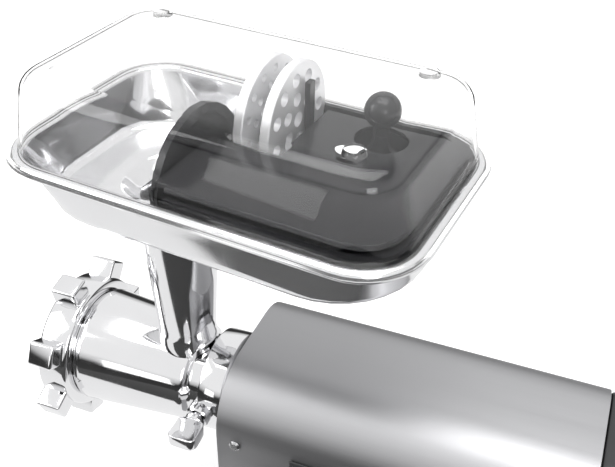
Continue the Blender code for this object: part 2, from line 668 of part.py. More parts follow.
BRUSH_INNER = 11.0 + TURN_GAP
for side, sign in (("near", -1), ("far", 1)):
    ends = (sign * BRUSH_INNER, sign * (BRUSH_INNER + 18.0))
    block(
        f"brush_holder_{side}",
        (STATOR_START + STATOR_LENGTH + 9.5, min(ends), MOTOR_Z - 4.0),
        (STATOR_START + STATOR_LENGTH + 16.5, max(ends), MOTOR_Z + 4.0), COPPER,
    )

FAN_START = REAR_BRACKET + BRACKET_THICKNESS + 8.0
FAN_HUB = 9.0
FAN_WIDTH = 14.0
fan = cylinder("cooling_fan", FAN_RADIUS, 2.0, NYLON, at=(FAN_START, 0, MOTOR_Z))
join(fan, cylinder("fan_hub", FAN_HUB, FAN_WIDTH, at=(FAN_START + 0.5, 0, MOTOR_Z), sides=24, cutter=True))
for i in range(FAN_BLADES):
    blade = block(
        f"fan_blade_{i}", (FAN_START + 1, -0.8, MOTOR_Z + FAN_HUB - 1.5),
        (FAN_START + FAN_WIDTH, 0.8, MOTOR_Z + FAN_RADIUS - 0.8),
        at=(FAN_START, 0, MOTOR_Z), turn=Matrix.Rotation(2 * math.pi * i / FAN_BLADES, 4, "X"),
        cutter=True,
    )
    join(fan, blade)
cut(fan, cylinder("fan_bore", MOTOR_SHAFT_RADIUS + GAP, 40, at=(FAN_START - 10, 0, MOTOR_Z),
                  sides=20, cutter=True))

# ---- clamp collar and lock knob -----------------------------------------------------------
collar_end = NOSE_START - GAP
flange = collar_end - COLLAR_START
collar = turned(
    "socket_collar",
    [(NOSE_RADIUS + 6.0, flange), (NOSE_RADIUS + 6.0, COLLAR_LENGTH + 1.5),
     (COLLAR_RADIUS - 1.0, COLLAR_LENGTH), (COLLAR_RADIUS, COLLAR_LENGTH - 1.5),
     (COLLAR_RADIUS, 1.5), (COLLAR_RADIUS - 1.5, 0), (COLLAR_BORE, 0), (COLLAR_BORE, flange)],
    POLISHED, at=(COLLAR_START, 0, 0), sides=30,
)
BOSS_RADIUS = 8.5
BOSS_END = COLLAR_RADIUS + 6.0
join(collar, cylinder("knob_boss", BOSS_RADIUS, BOSS_END - COLLAR_BORE - 2,
                      at=(KNOB_X, -COLLAR_BORE - 2, 0), turn=TOWARDS_Y, sides=24, cutter=True))
cut(collar, cylinder("knob_hole", KNOB_SHANK + TURN_GAP, 40, at=(KNOB_X, -COLLAR_BORE + 6, 0),
                     turn=TOWARDS_Y, sides=24, cutter=True))

knob_base = BOSS_END + 1.0
knob = cylinder("lock_knob", KNOB_SHANK, knob_base + 2 - NECK_RADIUS - 1.2, STEEL,
                at=(KNOB_X, -NECK_RADIUS - 1.2, 0), turn=TOWARDS_Y, sides=20)
join(knob, cylinder("knob_collar", 7.0, 4.0, at=(KNOB_X, -knob_base, 0), turn=TOWARDS_Y, sides=24,
                    cutter=True))
work = bmesh.new()
bmesh.ops.create_cube(work, size=1.0)
grip_start = -(knob_base + 3.0)
grip_end = grip_start - KNOB_REACH
for vert in work.verts:
    outer = vert.co.y < 0
    vert.co.x *= KNOB_WIDTH if outer else KNOB_INNER_WIDTH
    vert.co.z *= KNOB_THICKNESS
    vert.co.y = grip_end if outer else grip_start
grip = place("knob_grip", mesh_of("knob_grip", work), None, (KNOB_X, 0, 0), cutter=True)
join(knob, bevelled(grip, 2.0, 2, 30))

# ---- grinding head ------------------------------------------------------------------------
SEAT_DEPTH = PLATE_THICKNESS
BARREL_SHOULDER = NUT_REAR + 3.0
head_rear = 12.0
barrel = turned(
    "grinder_head",
    [(0, NECK_END - BARREL_FRONT), (NECK_RADIUS, NECK_END - BARREL_FRONT),
     (NECK_RADIUS, head_rear - BARREL_FRONT), (BARREL_REAR_RADIUS - 1.5, head_rear - BARREL_FRONT - 3),
     (BARREL_REAR_RADIUS, head_rear - BARREL_FRONT - 6),
     (BARREL_FRONT_RADIUS, BARREL_SHOULDER - BARREL_FRONT + 4),
     (BARREL_FRONT_RADIUS, BARREL_SHOULDER - BARREL_FRONT),
     (THREAD_RADIUS, BARREL_SHOULDER - BARREL_FRONT - 1), (THREAD_RADIUS, 0), (0, 0)],
    POLISHED, at=(BARREL_FRONT, 0, 0), sides=30,
)
throat_base = BARREL_BORE - 6.0
LIP_RADIUS = THROAT_TOP_RADIUS + 3.0
# Its corners are kept off the barrel's own, so that the two shapes cut each other cleanly.
THROAT_TURN = Matrix.Rotation(math.radians(5), 4, "Z")
throat = turned(
    "throat_body",
    [(0, THROAT_TOP), (LIP_RADIUS, THROAT_TOP), (LIP_RADIUS, THROAT_TOP - 3),
     (THROAT_TOP_RADIUS, THROAT_TOP - 6), (THROAT_FOOT_RADIUS, BARREL_REAR_RADIUS + 8),
     (THROAT_FOOT_RADIUS + 1.0, BARREL_REAR_RADIUS), (THROAT_FOOT_RADIUS + 1.0, throat_base),
     (0, throat_base)],
    turn=THROAT_TURN, sides=24, cutter=True,
)
throat_bore = turned(
    "throat_bore",
    [(0, THROAT_TOP + 5), (THROAT_TOP_RADIUS - THROAT_WALL, THROAT_TOP + 5),
     (THROAT_FOOT_RADIUS - THROAT_WALL, BARREL_REAR_RADIUS), (THROAT_FOOT_RADIUS - THROAT_WALL, 5),
     (0, 5)],
    turn=THROAT_TURN, sides=24, cutter=True,
)
BACK_WALL = 8.0
SHANK_RADIUS = 10.0
barrel_bore = turned(
    "barrel_bore",
    [(0, BACK_WALL - BARREL_FRONT), (BARREL_BORE, BACK_WALL - BARREL_FRONT),
     (BARREL_BORE, SEAT_DEPTH + GAP), (PLATE_RADIUS + GAP, SEAT_DEPTH + GAP),
     (PLATE_RADIUS + GAP, -5), (0, -5)],
    at=(BARREL_FRONT, 0, 0), sides=30, cutter=True,
)
join(barrel, throat)
cut(
    barrel, barrel_bore, throat_bore,
    cylinder("shank_bore", SHANK_RADIUS + TURN_GAP, 60, at=(0, 0, 0), sides=24, cutter=True),
    # the neck is counterbored behind so that the drive hub fits inside it
    cylinder("hub_counterbore", OUTPUT_HUB_RADIUS + 1.2, 40, at=(HUB_START - 4.0, 0, 0), sides=24,
             cutter=True),
)

# ---- auger, knife, plate, ring nut --------------------------------------------------------
PLATE_REAR = BARREL_FRONT + SEAT_DEPTH
KNIFE_THICKNESS = 5.0
KNIFE_REAR = PLATE_REAR + GAP + KNIFE_THICKNESS
auger_front = KNIFE_REAR + 1.0
auger_rear = BACK_WALL - 3.0
flight_length = auger_rear - auger_front - 8.0
turns = max(2, int(flight_length // AUGER_PITCH))

work = bmesh.new()
profile = [work.verts.new(point) for point in (
    (AUGER_RADIUS, 0, 4.0), (AUGER_RADIUS, 0, 0), (AUGER_CORE - 3, 0, -2.0), (AUGER_CORE - 3, 0, 6.0))]
for a, b in zip(profile, profile[1:] + profile[:1]):
    work.edges.new((a, b))
flight = place("auger_flight", mesh_of("auger_flight", work), None,
               (auger_front + 4.0, 0, 0), ALONG_X, cutter=True)
screw = flight.modifiers.new("helix", "SCREW")
screw.axis = "Z"
screw.steps = 12
screw.render_steps = 12
screw.screw_offset = AUGER_PITCH * MM
screw.iterations = turns
screw.use_merge_vertices = False
bpy.context.view_layer.update()
helix = bpy.data.meshes.new_from_object(flight.evaluated_get(bpy.context.evaluated_depsgraph_get()))
work = bmesh.new()
work.from_mesh(helix)
bmesh.ops.remove_doubles(work, verts=work.verts, dist=0.00001)
bmesh.ops.holes_fill(work, edges=[e for e in work.edges if e.is_boundary], sides=0)
bmesh.ops.recalc_face_normals(work, faces=work.faces)
work.to_mesh(helix)
work.free()
flight.modifiers.clear()
flight.data = helix

shank_end = HUB_START - 1.5
PIN_RADIUS = 5.5
auger = turned(
    "auger",
    [(0, shank_end), (SHANK_RADIUS, shank_end), (SHANK_RADIUS, auger_rear + 1.5),
     (AUGER_CORE + 5, auger_rear), (AUGER_CORE + 3, auger_rear - 6),
     (AUGER_CORE, auger_front + 8), (AUGER_CORE, auger_front), (0, auger_front)],
    CAST, sides=24,
)
join(auger, flight)
tang_half = TANG / 2
join(
    auger,
    block("tang", (shank_end - 4, -tang_half, -tang_half),
          (HUB_START + SOCKET_DEPTH - 3, tang_half, tang_half), cutter=True),
    block("knife_square", (PLATE_REAR + GAP, -5.5, -5.5), (auger_front + 3, 5.5, 5.5), cutter=True),
    cylinder("plate_pin", 4.2, 9.0, at=(BARREL_FRONT + 0.8, 0, 0), sides=20, cutter=True),
)

knife = cylinder("knife", 12.0, KNIFE_THICKNESS, STEEL, at=(PLATE_REAR + GAP, 0, 0), sides=24)
for i in range(4):
    arm = block(
        f"knife_arm_{i}", (PLATE_REAR + GAP, -4.2, 6.0),
        (PLATE_REAR + GAP + KNIFE_THICKNESS - 0.6, 4.2, BARREL_BORE - 3.0),
        at=(PLATE_REAR, 0, 0), turn=Matrix.Rotation(math.pi / 2 * i, 4, "X"), cutter=True,
    )
    join(knife, arm)
cut(knife, block("knife_eye", (PLATE_REAR - 10, -5.5 - GAP, -5.5 - GAP),
                 (PLATE_REAR + 20, 5.5 + GAP, 5.5 + GAP), cutter=True))


def plate_holes(rings):
    """The cutters for one grinding plate: rings of (count, ring radius, hole radius)."""
    made = []
    for ring, (count, ring_radius, hole_radius) in enumerate(rings):
        for i in range(count):
            angle = 2 * math.pi * (i + 0.5 * (ring % 2)) / count
            made.append((ring_radius * math.cos(angle), ring_radius * math.sin(angle), hole_radius))
    return made


def grinding_plate(name, rings, centre, yaw=0.0, pin_hole=4.2 + TURN_GAP):
    """A grinding plate with its axis along X turned by `yaw`, holes drilled in one go."""
    turn = Matrix.Rotation(yaw, 4, "Z") @ ALONG_X
    made = cylinder(name, PLATE_RADIUS, PLATE_THICKNESS, STEEL, at=centre, turn=turn, sides=32)
    work = bmesh.new()
    for y, z, hole in plate_holes(rings) + [(0, 0, pin_hole)]:
        bmesh.ops.create_cone(
            work, cap_ends=True, segments=16 if hole == pin_hole else 6, radius1=hole,
            radius2=hole, depth=PLATE_THICKNESS + 8,
            matrix=Matrix.Translation((y, z, PLATE_THICKNESS / 2)),
        )
    drill = place(f"{name}_holes", mesh_of(f"{name}_holes", work), None, centre, turn, cutter=True)
    return cut(made, drill)


MEDIUM_RINGS = ((6, 12.5, 3.4), (13, 25.5, 3.4))
COARSE_RINGS = ((6, 13.5, 4.2), (11, 26.0, 4.2))
FINE_RINGS = ((6, 12.0, 2.6), (9, 19.0, 2.6), (13, 28.0, 2.6))
grinding_plate("grinding_plate", MEDIUM_RINGS, (BARREL_FRONT, 0, 0))

nut_thread = THREAD_RADIUS + TURN_GAP
nut = turned(
    "ring_nut",
    [(NUT_RADIUS - 1.5, NUT_LENGTH), (NUT_RADIUS, NUT_LENGTH - 1.5), (NUT_RADIUS, 2.0),
     (NUT_RADIUS - 2.0, 0), (PLATE_RADIUS - 4.0, 0), (PLATE_RADIUS - 3.0, BARREL_FRONT - NUT_FRONT - GAP),
     (nut_thread, BARREL_FRONT - NUT_FRONT - GAP), (nut_thread, NUT_LENGTH)],
    POLISHED, at=(NUT_FRONT, 0, 0), sides=35,
)
for i in range(NUT_LOBES):
    angle = math.radians(11.4) + 2 * math.pi * i / NUT_LOBES
    lobe = block(
        f"nut_lobe_{i}", (NUT_FRONT + 1.0, -LOBE_WIDTH / 2, NUT_RADIUS - 4.0),
        (NUT_REAR - 3.0, LOBE_WIDTH / 2, NUT_RADIUS + LOBE_REACH), at=(NUT_FRONT, 0, 0),
        turn=Matrix.Rotation(angle, 4, "X"), cutter=True,
    )
    join(nut, bevelled(lobe, 1.8, 1, 60))

# ---- pan, lid and caddy -------------------------------------------------------------------
PAN_TURN = Matrix.Rotation(PAN_YAW, 4, "Z")
CORNER_STEPS = 4
SIDE_POINTS = 2


def rounded_outline(inset, corner=PAN_CORNER, length=PAN_LENGTH, width=PAN_WIDTH):
    """Points round a rounded rectangle about the pan's middle, `inset` inside its edge."""
    half_x, half_y = length / 2 - inset, width / 2 - inset
    radius = max(corner - inset, 4.0)
    points = []
    for sx, sy, start in ((1, 1, 0), (-1, 1, 90), (-1, -1, 180), (1, -1, 270)):
        points += arc((sx * (half_x - radius), sy * (half_y - radius)), radius, start, start + 90,
                      CORNER_STEPS)
    closed = []
    for i, point in enumerate(points):
        closed.append(point)
        if (i + 1) % (CORNER_STEPS + 1) == 0:
            after = points[(i + 1) % len(points)]
            closed += [
                (point[0] + (after[0] - point[0]) * k / SIDE_POINTS,
                 point[1] + (after[1] - point[1]) * k / SIDE_POINTS)
                for k in range(1, SIDE_POINTS)
            ]
    return [(x + PAN_CENTRE, y) for x, y in closed]


def circle_like(outline, radius):
    """A circle about the throat axis with a point towards each point of the outline."""
    found = []
    for x, y in outline:
        angle = math.atan2(y, x)
        found.append((radius * math.cos(angle), radius * math.sin(angle)))
    return found


def loft(name, loops, finish, thickness, offset, close_last=False):
    """A sheet through loops of (outline, height), given a thickness."""
    work = bmesh.new()
    rows = [[work.verts.new((x, y, z)) for x, y in outline] for outline, z in loops]
    for lower, upper in zip(rows, rows[1:]):
        count = len(lower)
        for i in range(count):
            j = (i + 1) % count
            work.faces.new((lower[i], lower[j], upper[j], upper[i]))
    if close_last:
        work.faces.new(rows[-1])
    bmesh.ops.recalc_face_normals(work, faces=work.faces)
    made = place(name, mesh_of(name, work), finish, (0, 0, 0), PAN_TURN)
    sheet = made.modifiers.new("sheet", "SOLIDIFY")
    sheet.thickness = thickness * MM
    sheet.offset = offset
    sheet.use_even_offset = True
    return made


wall_in = PAN_RIM
floor_in = PAN_FLOOR_INSET
floor_loop = rounded_outline(floor_in + 6, PAN_FLOOR_CORNER)
spout = THROAT_TOP_RADIUS - THROAT_WALL - GAP - PAN_SHEET
pan_loops = [
    (rounded_outline(0.6), PAN_RIM_HEIGHT - 5.0),
    (rounded_outline(0.0), PAN_RIM_HEIGHT - 2.0),
    (rounded_outline(1.6), PAN_RIM_HEIGHT),
    (rounded_outline(wall_in - 1.5), PAN_RIM_HEIGHT - 0.4),
    (rounded_outline(wall_in), PAN_RIM_HEIGHT - 3.0),
    (rounded_outline(floor_in - 0.6, PAN_FLOOR_CORNER), PAN_FLOOR + 8.0),
    (rounded_outline(floor_in + 1.6, PAN_FLOOR_CORNER), PAN_FLOOR + 2.6),
    (floor_loop, PAN_FLOOR),
    (circle_like(floor_loop, HOLE_RADIUS), PAN_FLOOR),
    (circle_like(floor_loop, HOLE_RADIUS - 2.5), PAN_FLOOR - 2.5),
    (circle_like(floor_loop, spout + 1.5), THROAT_TOP + 2.2),
    (circle_like(floor_loop, spout), THROAT_TOP - 0.2),
    (circle_like(floor_loop, spout - 1.4), THROAT_TOP - SPOUT_DEPTH),
]
pan = loft("meat_pan", pan_loops, POLISHED, PAN_SHEET, 0)

lid_base = PAN_RIM_HEIGHT + PAN_SHEET / 2 + GAP
lid_top = lid_base + LID_HEIGHT
lid_loops = [
    (rounded_outline(-LID_OVERHANG), lid_base - 2.5),
    (rounded_outline(-LID_OVERHANG), lid_base + LID_WALL),
    (rounded_outline(4.0), lid_base + LID_WALL + 0.6),
]
for step in range(5):
    angle = math.radians(90 * step / 4)
    lid_loops.append((
        rounded_outline(5.0 + LID_DRAFT + LID_ROUND * (1 - math.cos(angle))),
        lid_top - LID_ROUND + LID_ROUND * math.sin(angle),
    ))
lid = loft("clear_lid", lid_loops, CLEAR, LID_WALL, -1, close_last=True)
for i, (sx, sy) in enumerate(((1, 1), (-1, 1), (-1, -1), (1, -1)), start=1):
    spot = PAN_TURN @ Vector((PAN_CENTRE + sx * LID_FOOT_ALONG, sy * LID_FOOT_ACROSS, lid_top - 1.0))
    join(lid, cylinder(f"lid_foot_{i}", LID_FOOT_RADIUS, LID_FOOT_HEIGHT + 1.0, at=spot,
                       turn=Matrix(), sides=24, end_radius=LID_FOOT_RADIUS - 1.2, cutter=True))

# The caddy is a tray that follows the inside of the pan from CADDY_START to the pan's end.
caddy_low = PAN_FLOOR + PAN_SHEET / 2 + GAP
caddy_high = PAN_RIM_HEIGHT + CADDY_RISE
top_inset = PAN_RIM + PAN_SHEET / 2 + CADDY_CLEARANCE
low_inset = floor_in + PAN_SHEET + CADDY_CLEARANCE + 2.0
FAR = 200.0


def pan_solid(name, loops, finish=None, cutter=False):
    """A closed solid through loops of (outline, height), in the pan's own turned frame."""
    work = bmesh.new()
    rows = [[work.verts.new((x, y, z)) for x, y in outline] for outline, z in loops]
    for lower, upper in zip(rows, rows[1:]):
        for i in range(len(lower)):
            j = (i + 1) % len(lower)
            work.faces.new((lower[i], lower[j], upper[j], upper[i]))
    work.faces.new(rows[0])
    work.faces.new(rows[-1])
    bmesh.ops.recalc_face_normals(work, faces=work.faces)
    return place(name, mesh_of(name, work), finish, (0, 0, 0), PAN_TURN, cutter=cutter)


def pan_block(name, low, high):
    """A cutter box in the pan's own turned frame."""
    made = block(name, low, high, at=(0, 0, 0), cutter=True)
    made.matrix_local = PAN_TURN
    return made


caddy = pan_solid("accessory_caddy", [
    (rounded_outline(low_inset + 4.0, PAN_FLOOR_CORNER), caddy_low),
    (rounded_outline(low_inset, PAN_FLOOR_CORNER), caddy_low + 4.0),
    (rounded_outline(top_inset), caddy_high),
], BLACK)
hollow = pan_solid("caddy_hollow", [
    (rounded_outline(low_inset + 4.0 + CADDY_WALL, PAN_FLOOR_CORNER), caddy_low + CADDY_WALL),
    (rounded_outline(low_inset + CADDY_WALL, PAN_FLOOR_CORNER), caddy_low + CADDY_WALL + 4.0),
    (rounded_outline(top_inset + CADDY_WALL - 0.6), caddy_high + 10.0),
], cutter=True)
cut(caddy, pan_block("caddy_cut", (-FAR, -FAR, caddy_low - 20), (CADDY_START, FAR, caddy_high + 40)))
cut(hollow, pan_block("hollow_cut", (-FAR, -FAR, caddy_low - 20),
                      (CADDY_START + CADDY_WALL, FAR, caddy_high + 40)))
cut(caddy, hollow)
# the arched end plate, with a shallow recess in the part that stands above the tray
ARCH_PLATE = CADDY_WALL + 2.0
arch_centre = caddy_high - ARCH_DROP
arch_foot = caddy_low + 2.0
arch_outline = [
    (ARCH_SIDE + ARCH_RADIUS, arch_foot), *arc((ARCH_SIDE, arch_centre), ARCH_RADIUS, 0, 180, 12),
    (ARCH_SIDE - ARCH_RADIUS, arch_foot),
]
arch = prism("caddy_arch", arch_outline, CADDY_START, ARCH_PLATE, cutter=True)
arch.matrix_local = PAN_TURN
recess_radius = ARCH_RADIUS - ARCH_RIM
recess_start = math.degrees(math.asin((caddy_high - ARCH_RIM - arch_centre) / recess_radius))
recess = prism(
    "arch_recess", arc((ARCH_SIDE, arch_centre), recess_radius, recess_start, 180 - recess_start, 10),
    CADDY_START + CADDY_WALL, 12.0, cutter=True,
)
recess.matrix_local = PAN_TURN
join(caddy, arch)
cut(caddy, recess)
arch_near = ARCH_SIDE - ARCH_RADIUS
cut(caddy, pan_block(
    "near_step", (CADDY_START - 1.0, -FAR, arch_centre), (CADDY_START + ARCH_STEP, arch_near, FAR + FAR)))
caddy_end = PAN_CENTRE + PAN_LENGTH / 2 - low_inset - 4.0
cover_top = PAN_RIM_HEIGHT + COVER_RISE
cover_low = cover_top - COVER_SHEET
join(caddy, pan_block(
    "long_divider", (CADDY_START + 1.0, DIVIDER_SIDE - CADDY_WALL, caddy_low + 1.0),
    (caddy_end, DIVIDER_SIDE, cover_low - GAP)))
rack_far = PAN_WIDTH / 2 - low_inset - 4.0
RACK_GAP = 1.0
RACK_HEIGHT = 26.0
for i, along in enumerate(SPARE_ALONG):
    for k, face in enumerate((along - RACK_GAP - CADDY_WALL, along + PLATE_THICKNESS + RACK_GAP)):
        join(caddy, pan_block(
            f"rack_{i}_{k}", (face, DIVIDER_SIDE - 1.0, caddy_low + 1.0),
            (face + CADDY_WALL, rack_far, caddy_low + RACK_HEIGHT)))
post_face = SPARE_ALONG[-1] + PLATE_THICKNESS + RACK_GAP + 0.4
join(caddy, pan_block(
    "plate_post", (post_face, SPARE_ACROSS + 5.0, caddy_low + 1.5),
    (post_face + 3.4, SPARE_ACROSS + 11.0, PAN_RIM_HEIGHT + POST_RISE)))

# its cover closes the near side and the right end, and the stomper stands through it
cover_inset = top_inset + CADDY_WALL
cover = pan_solid("caddy_cover", [
    (rounded_outline(cover_inset), cover_low), (rounded_outline(cover_inset), cover_top - 1.0),
    (rounded_outline(cover_inset + 1.0), cover_top),
], BLACK)
COVER_BAY = post_face + 8.0
cut(
    cover,
    pan_block("cover_step", (-FAR, -FAR, cover_low - 5),
              (CADDY_START + ARCH_STEP + GAP, arch_near, cover_top + 5)),
    pan_block("cover_start", (-FAR, -FAR, cover_low - 5),
              (CADDY_START + ARCH_PLATE + GAP, FAR, cover_top + 5)),
    pan_block("cover_rack", (-FAR, DIVIDER_SIDE + GAP, cover_low - 5), (COVER_BAY, FAR, cover_top + 5)),
    pan_block("cover_far", (-FAR, COVER_FAR_SIDE, cover_low - 5), (FAR, FAR, cover_top + 5)),
)
stomper_spot = PAN_TURN @ Vector((STOMPER_ALONG, STOMPER_ACROSS, 0))
cut(cover, cylinder(
    "stomper_hole", STOMPER_RADIUS + 1.0, 20, at=(stomper_spot.x, stomper_spot.y, cover_low - 10),
    turn=Matrix(), sides=24, cutter=True))
BADGE_HALF_LENGTH = 8.0
BADGE_HALF_WIDTH = 5.5
BADGE_THICKNESS = 0.8
badge_spot = PAN_TURN @ Vector((BADGE_ALONG, BADGE_ACROSS, cover_top + GAP))
badge = cylinder("caddy_badge", 1.0, BADGE_THICKNESS, STEEL, at=badge_spot, turn=PAN_TURN, sides=24)
for vert in badge.data.vertices:
    vert.co.x *= BADGE_HALF_LENGTH
    vert.co.y *= BADGE_HALF_WIDTH

spare_level = PAN_RIM_HEIGHT + SPARE_HEIGHT
for name, rings, along in (("fine_plate", FINE_RINGS, SPARE_ALONG[0]),
                           ("coarse_plate", COARSE_RINGS, SPARE_ALONG[1])):
    spot = PAN_TURN @ Vector((along, SPARE_ACROSS, spare_level))
    grinding_plate(name, rings, spot, yaw=PAN_YAW)

stomper_foot = caddy_low + CADDY_WALL + GAP
ball_level = PAN_RIM_HEIGHT + STOMPER_BALL_HEIGHT
stomper_top = ball_level - STOMPER_BALL - 4.0
turned(
    "stomper_body",
    [(0, stomper_top), (4.5, stomper_top), (6.0, stomper_top - 8.0),
     (STOMPER_RADIUS - 2.0, stomper_top - 14.0), (STOMPER_RADIUS, stomper_top - 18.0),
     (STOMPER_RADIUS, stomper_foot + 1.5), (STOMPER_RADIUS - 1.5, stomper_foot), (0, stomper_foot)],
    BLACK, at=stomper_spot, turn=Matrix(), sides=20,
)
ball_profile = [(0, STOMPER_BALL)] + [
    (r, z) for z, r in arc((0, 0), STOMPER_BALL, 20, 150, 7)
] + [(STOMPER_BALL * 0.5, -STOMPER_BALL - 3.4), (0, -STOMPER_BALL - 3.4)]
turned("stomper_knob", ball_profile, BLACK, at=(stomper_spot.x, stomper_spot.y, ball_level),
       turn=Matrix(), sides=16)

for made in parts.objects:
    if made.type == "MESH":
        smooth(made)
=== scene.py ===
"""Electric meat grinder with a lidded feed pan: finishes, finer pieces, light and camera."""
import json
import math

import bmesh
import bpy
from mathutils import Matrix, Vector

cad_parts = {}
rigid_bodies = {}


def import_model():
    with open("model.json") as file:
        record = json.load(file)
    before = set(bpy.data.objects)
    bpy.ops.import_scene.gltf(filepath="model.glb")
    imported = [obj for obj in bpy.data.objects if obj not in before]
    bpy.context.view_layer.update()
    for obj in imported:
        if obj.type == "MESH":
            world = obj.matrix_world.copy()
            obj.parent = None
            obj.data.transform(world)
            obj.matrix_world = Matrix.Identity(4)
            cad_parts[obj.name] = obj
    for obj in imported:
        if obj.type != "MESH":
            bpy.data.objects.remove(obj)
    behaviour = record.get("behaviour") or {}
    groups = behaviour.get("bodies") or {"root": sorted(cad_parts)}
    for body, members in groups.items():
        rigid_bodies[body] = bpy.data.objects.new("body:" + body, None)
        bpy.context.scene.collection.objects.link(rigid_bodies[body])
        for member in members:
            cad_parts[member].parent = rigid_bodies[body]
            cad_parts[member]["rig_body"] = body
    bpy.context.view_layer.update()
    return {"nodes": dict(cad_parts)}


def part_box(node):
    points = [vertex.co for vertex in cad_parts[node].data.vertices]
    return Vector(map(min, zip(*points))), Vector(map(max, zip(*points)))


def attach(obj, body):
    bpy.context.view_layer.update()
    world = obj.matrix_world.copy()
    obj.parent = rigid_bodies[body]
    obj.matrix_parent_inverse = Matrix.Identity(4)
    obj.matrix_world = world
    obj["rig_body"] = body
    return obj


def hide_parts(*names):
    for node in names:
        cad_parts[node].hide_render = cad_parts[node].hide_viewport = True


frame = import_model()

# ---- camera -------------------------------------------------------------------------------
# It looks down on the near side of the grinder from the right, close enough that the rear of
# the housing and the feet leave the frame.
bearing, height, roll = math.radians(21.0), math.radians(35.6), math.radians(0.8)
towards_camera = Vector((
    math.cos(height) * math.sin(bearing), -math.cos(height) * math.cos(bearing), math.sin(height)))
level = Vector((math.cos(bearing), math.sin(bearing), 0))
across = level * math.cos(roll) + towards_camera.cross(level) * math.sin(roll)
camera = bpy.data.objects.new("camera", bpy.data.cameras.new("camera"))
bpy.context.scene.collection.objects.link(camera)
camera.matrix_world = Matrix.Translation((0.1304, -0.3924, 0.5653)) @ Matrix(
    (across, towards_camera.cross(across), towards_camera)).transposed().to_4x4()
camera.data.lens = 51.7
camera.data.sensor_width = 36
camera.data.clip_start = 0.01
bpy.context.scene.camera = camera

# ---- studio -------------------------------------------------------------------------------
# A white sweep under broad soft light.  The polished metal mirrors a world of its own, white
# above and below with a dark band just under the horizon, and a black card on the table.
bpy.context.scene.view_settings.view_transform = "Standard"
floor_shape = bmesh.new()
bmesh.ops.create_grid(floor_shape, x_segments=1, y_segments=1, size=3.0)
floor_mesh = bpy.data.meshes.new("studio_floor")
floor_shape.to_mesh(floor_mesh)
floor_shape.free()
floor = bpy.data.objects.new("studio_floor", floor_mesh)
bpy.context.scene.collection.objects.link(floor)
floor_paper = bpy.data.materials.new("white_paper")
floor_paper.use_nodes = True
paper = floor_paper.node_tree.nodes["Principled BSDF"]
paper.inputs["Base Color"].default_value = (0.86, 0.86, 0.86, 1)
paper.inputs["Roughness"].default_value = 0.9
paper.inputs["Specular IOR Level"].default_value = 0.1
paper.inputs["Emission Color"].default_value = (1, 1, 1, 1)
paper.inputs["Emission Strength"].default_value = 0.32
floor_mesh.materials.append(floor_paper)
floor.visible_glossy = False

world = bpy.data.worlds.new("studio")
bpy.context.scene.world = world
world.use_nodes = True
sky = world.node_tree.nodes
sky_links = world.node_tree.links
backdrop = sky["Background"]
direction = sky.new("ShaderNodeTexCoord")
parts_of_it = sky.new("ShaderNodeSeparateXYZ")
sky_links.new(direction.outputs["Generated"], parts_of_it.inputs[0])
lift = sky.new("ShaderNodeMapRange")
lift.inputs["From Min"].default_value = -1
lift.inputs["From Max"].default_value = 1
sky_links.new(parts_of_it.outputs["Z"], lift.inputs["Value"])
bands = sky.new("ShaderNodeValToRGB")
bands.color_ramp.elements[0].position = 0.0
bands.color_ramp.elements[0].color = (1.0, 1.0, 1.0, 1)
bands.color_ramp.elements[1].position = 1.0
bands.color_ramp.elements[1].color = (1.0, 1.0, 1.0, 1)
for place, tone in (
        (0.28, 0.95), (0.33, 0.5), (0.36, 0.05), (0.51, 0.03), (0.56, 0.6), (0.64, 1.0)):
    stop = bands.color_ramp.elements.new(place)
    stop.color = (tone, tone, tone, 1)
sky_links.new(lift.outputs["Result"], bands.inputs["Fac"])
seen = sky.new("ShaderNodeLightPath")
plain = sky.new("ShaderNodeMix")
plain.data_type = "RGBA"
plain.inputs["A"].default_value = (0.85, 0.85, 0.85, 1)
sky_links.new(seen.outputs["Is Glossy Ray"], plain.inputs["Factor"])
sky_links.new(bands.outputs["Color"], plain.inputs["B"])
sky_links.new(plain.outputs["Result"], backdrop.inputs["Color"])
backdrop.inputs["Strength"].default_value = 1.0


def softbox(name, at, aim, width, depth, power):
    """A rectangular lamp at `at`, facing `aim`."""
    lamp = bpy.data.lights.new(name, "AREA")
    lamp.shape = "RECTANGLE"
    lamp.size = width
    lamp.size_y = depth
    lamp.energy = power
    hung = bpy.data.objects.new(name, lamp)
    bpy.context.scene.collection.objects.link(hung)
    hung.location = at
    hung.rotation_euler = (Vector(at) - Vector(aim)).to_track_quat("Z", "Y").to_euler()
    return hung


softbox("lamp_overhead", (0.0, -0.1, 1.5), (0.0, 0.0, 0.1), 1.3, 1.0, 17)
softbox("lamp_left", (-1.2, -0.7, 0.9), (0.0, 0.0, 0.2), 0.8, 1.0, 9)
softbox("lamp_near", (0.9, -1.3, 0.75), (0.0, 0.0, 0.2), 0.6, 0.7, 6)
lid_lamp = softbox(
    "lamp_for_the_lid", (-0.249, -0.481, 0.178), (-0.02, -0.07, 0.33), 0.155, 0.105, 0.08)
lid_lamp.visible_camera = False

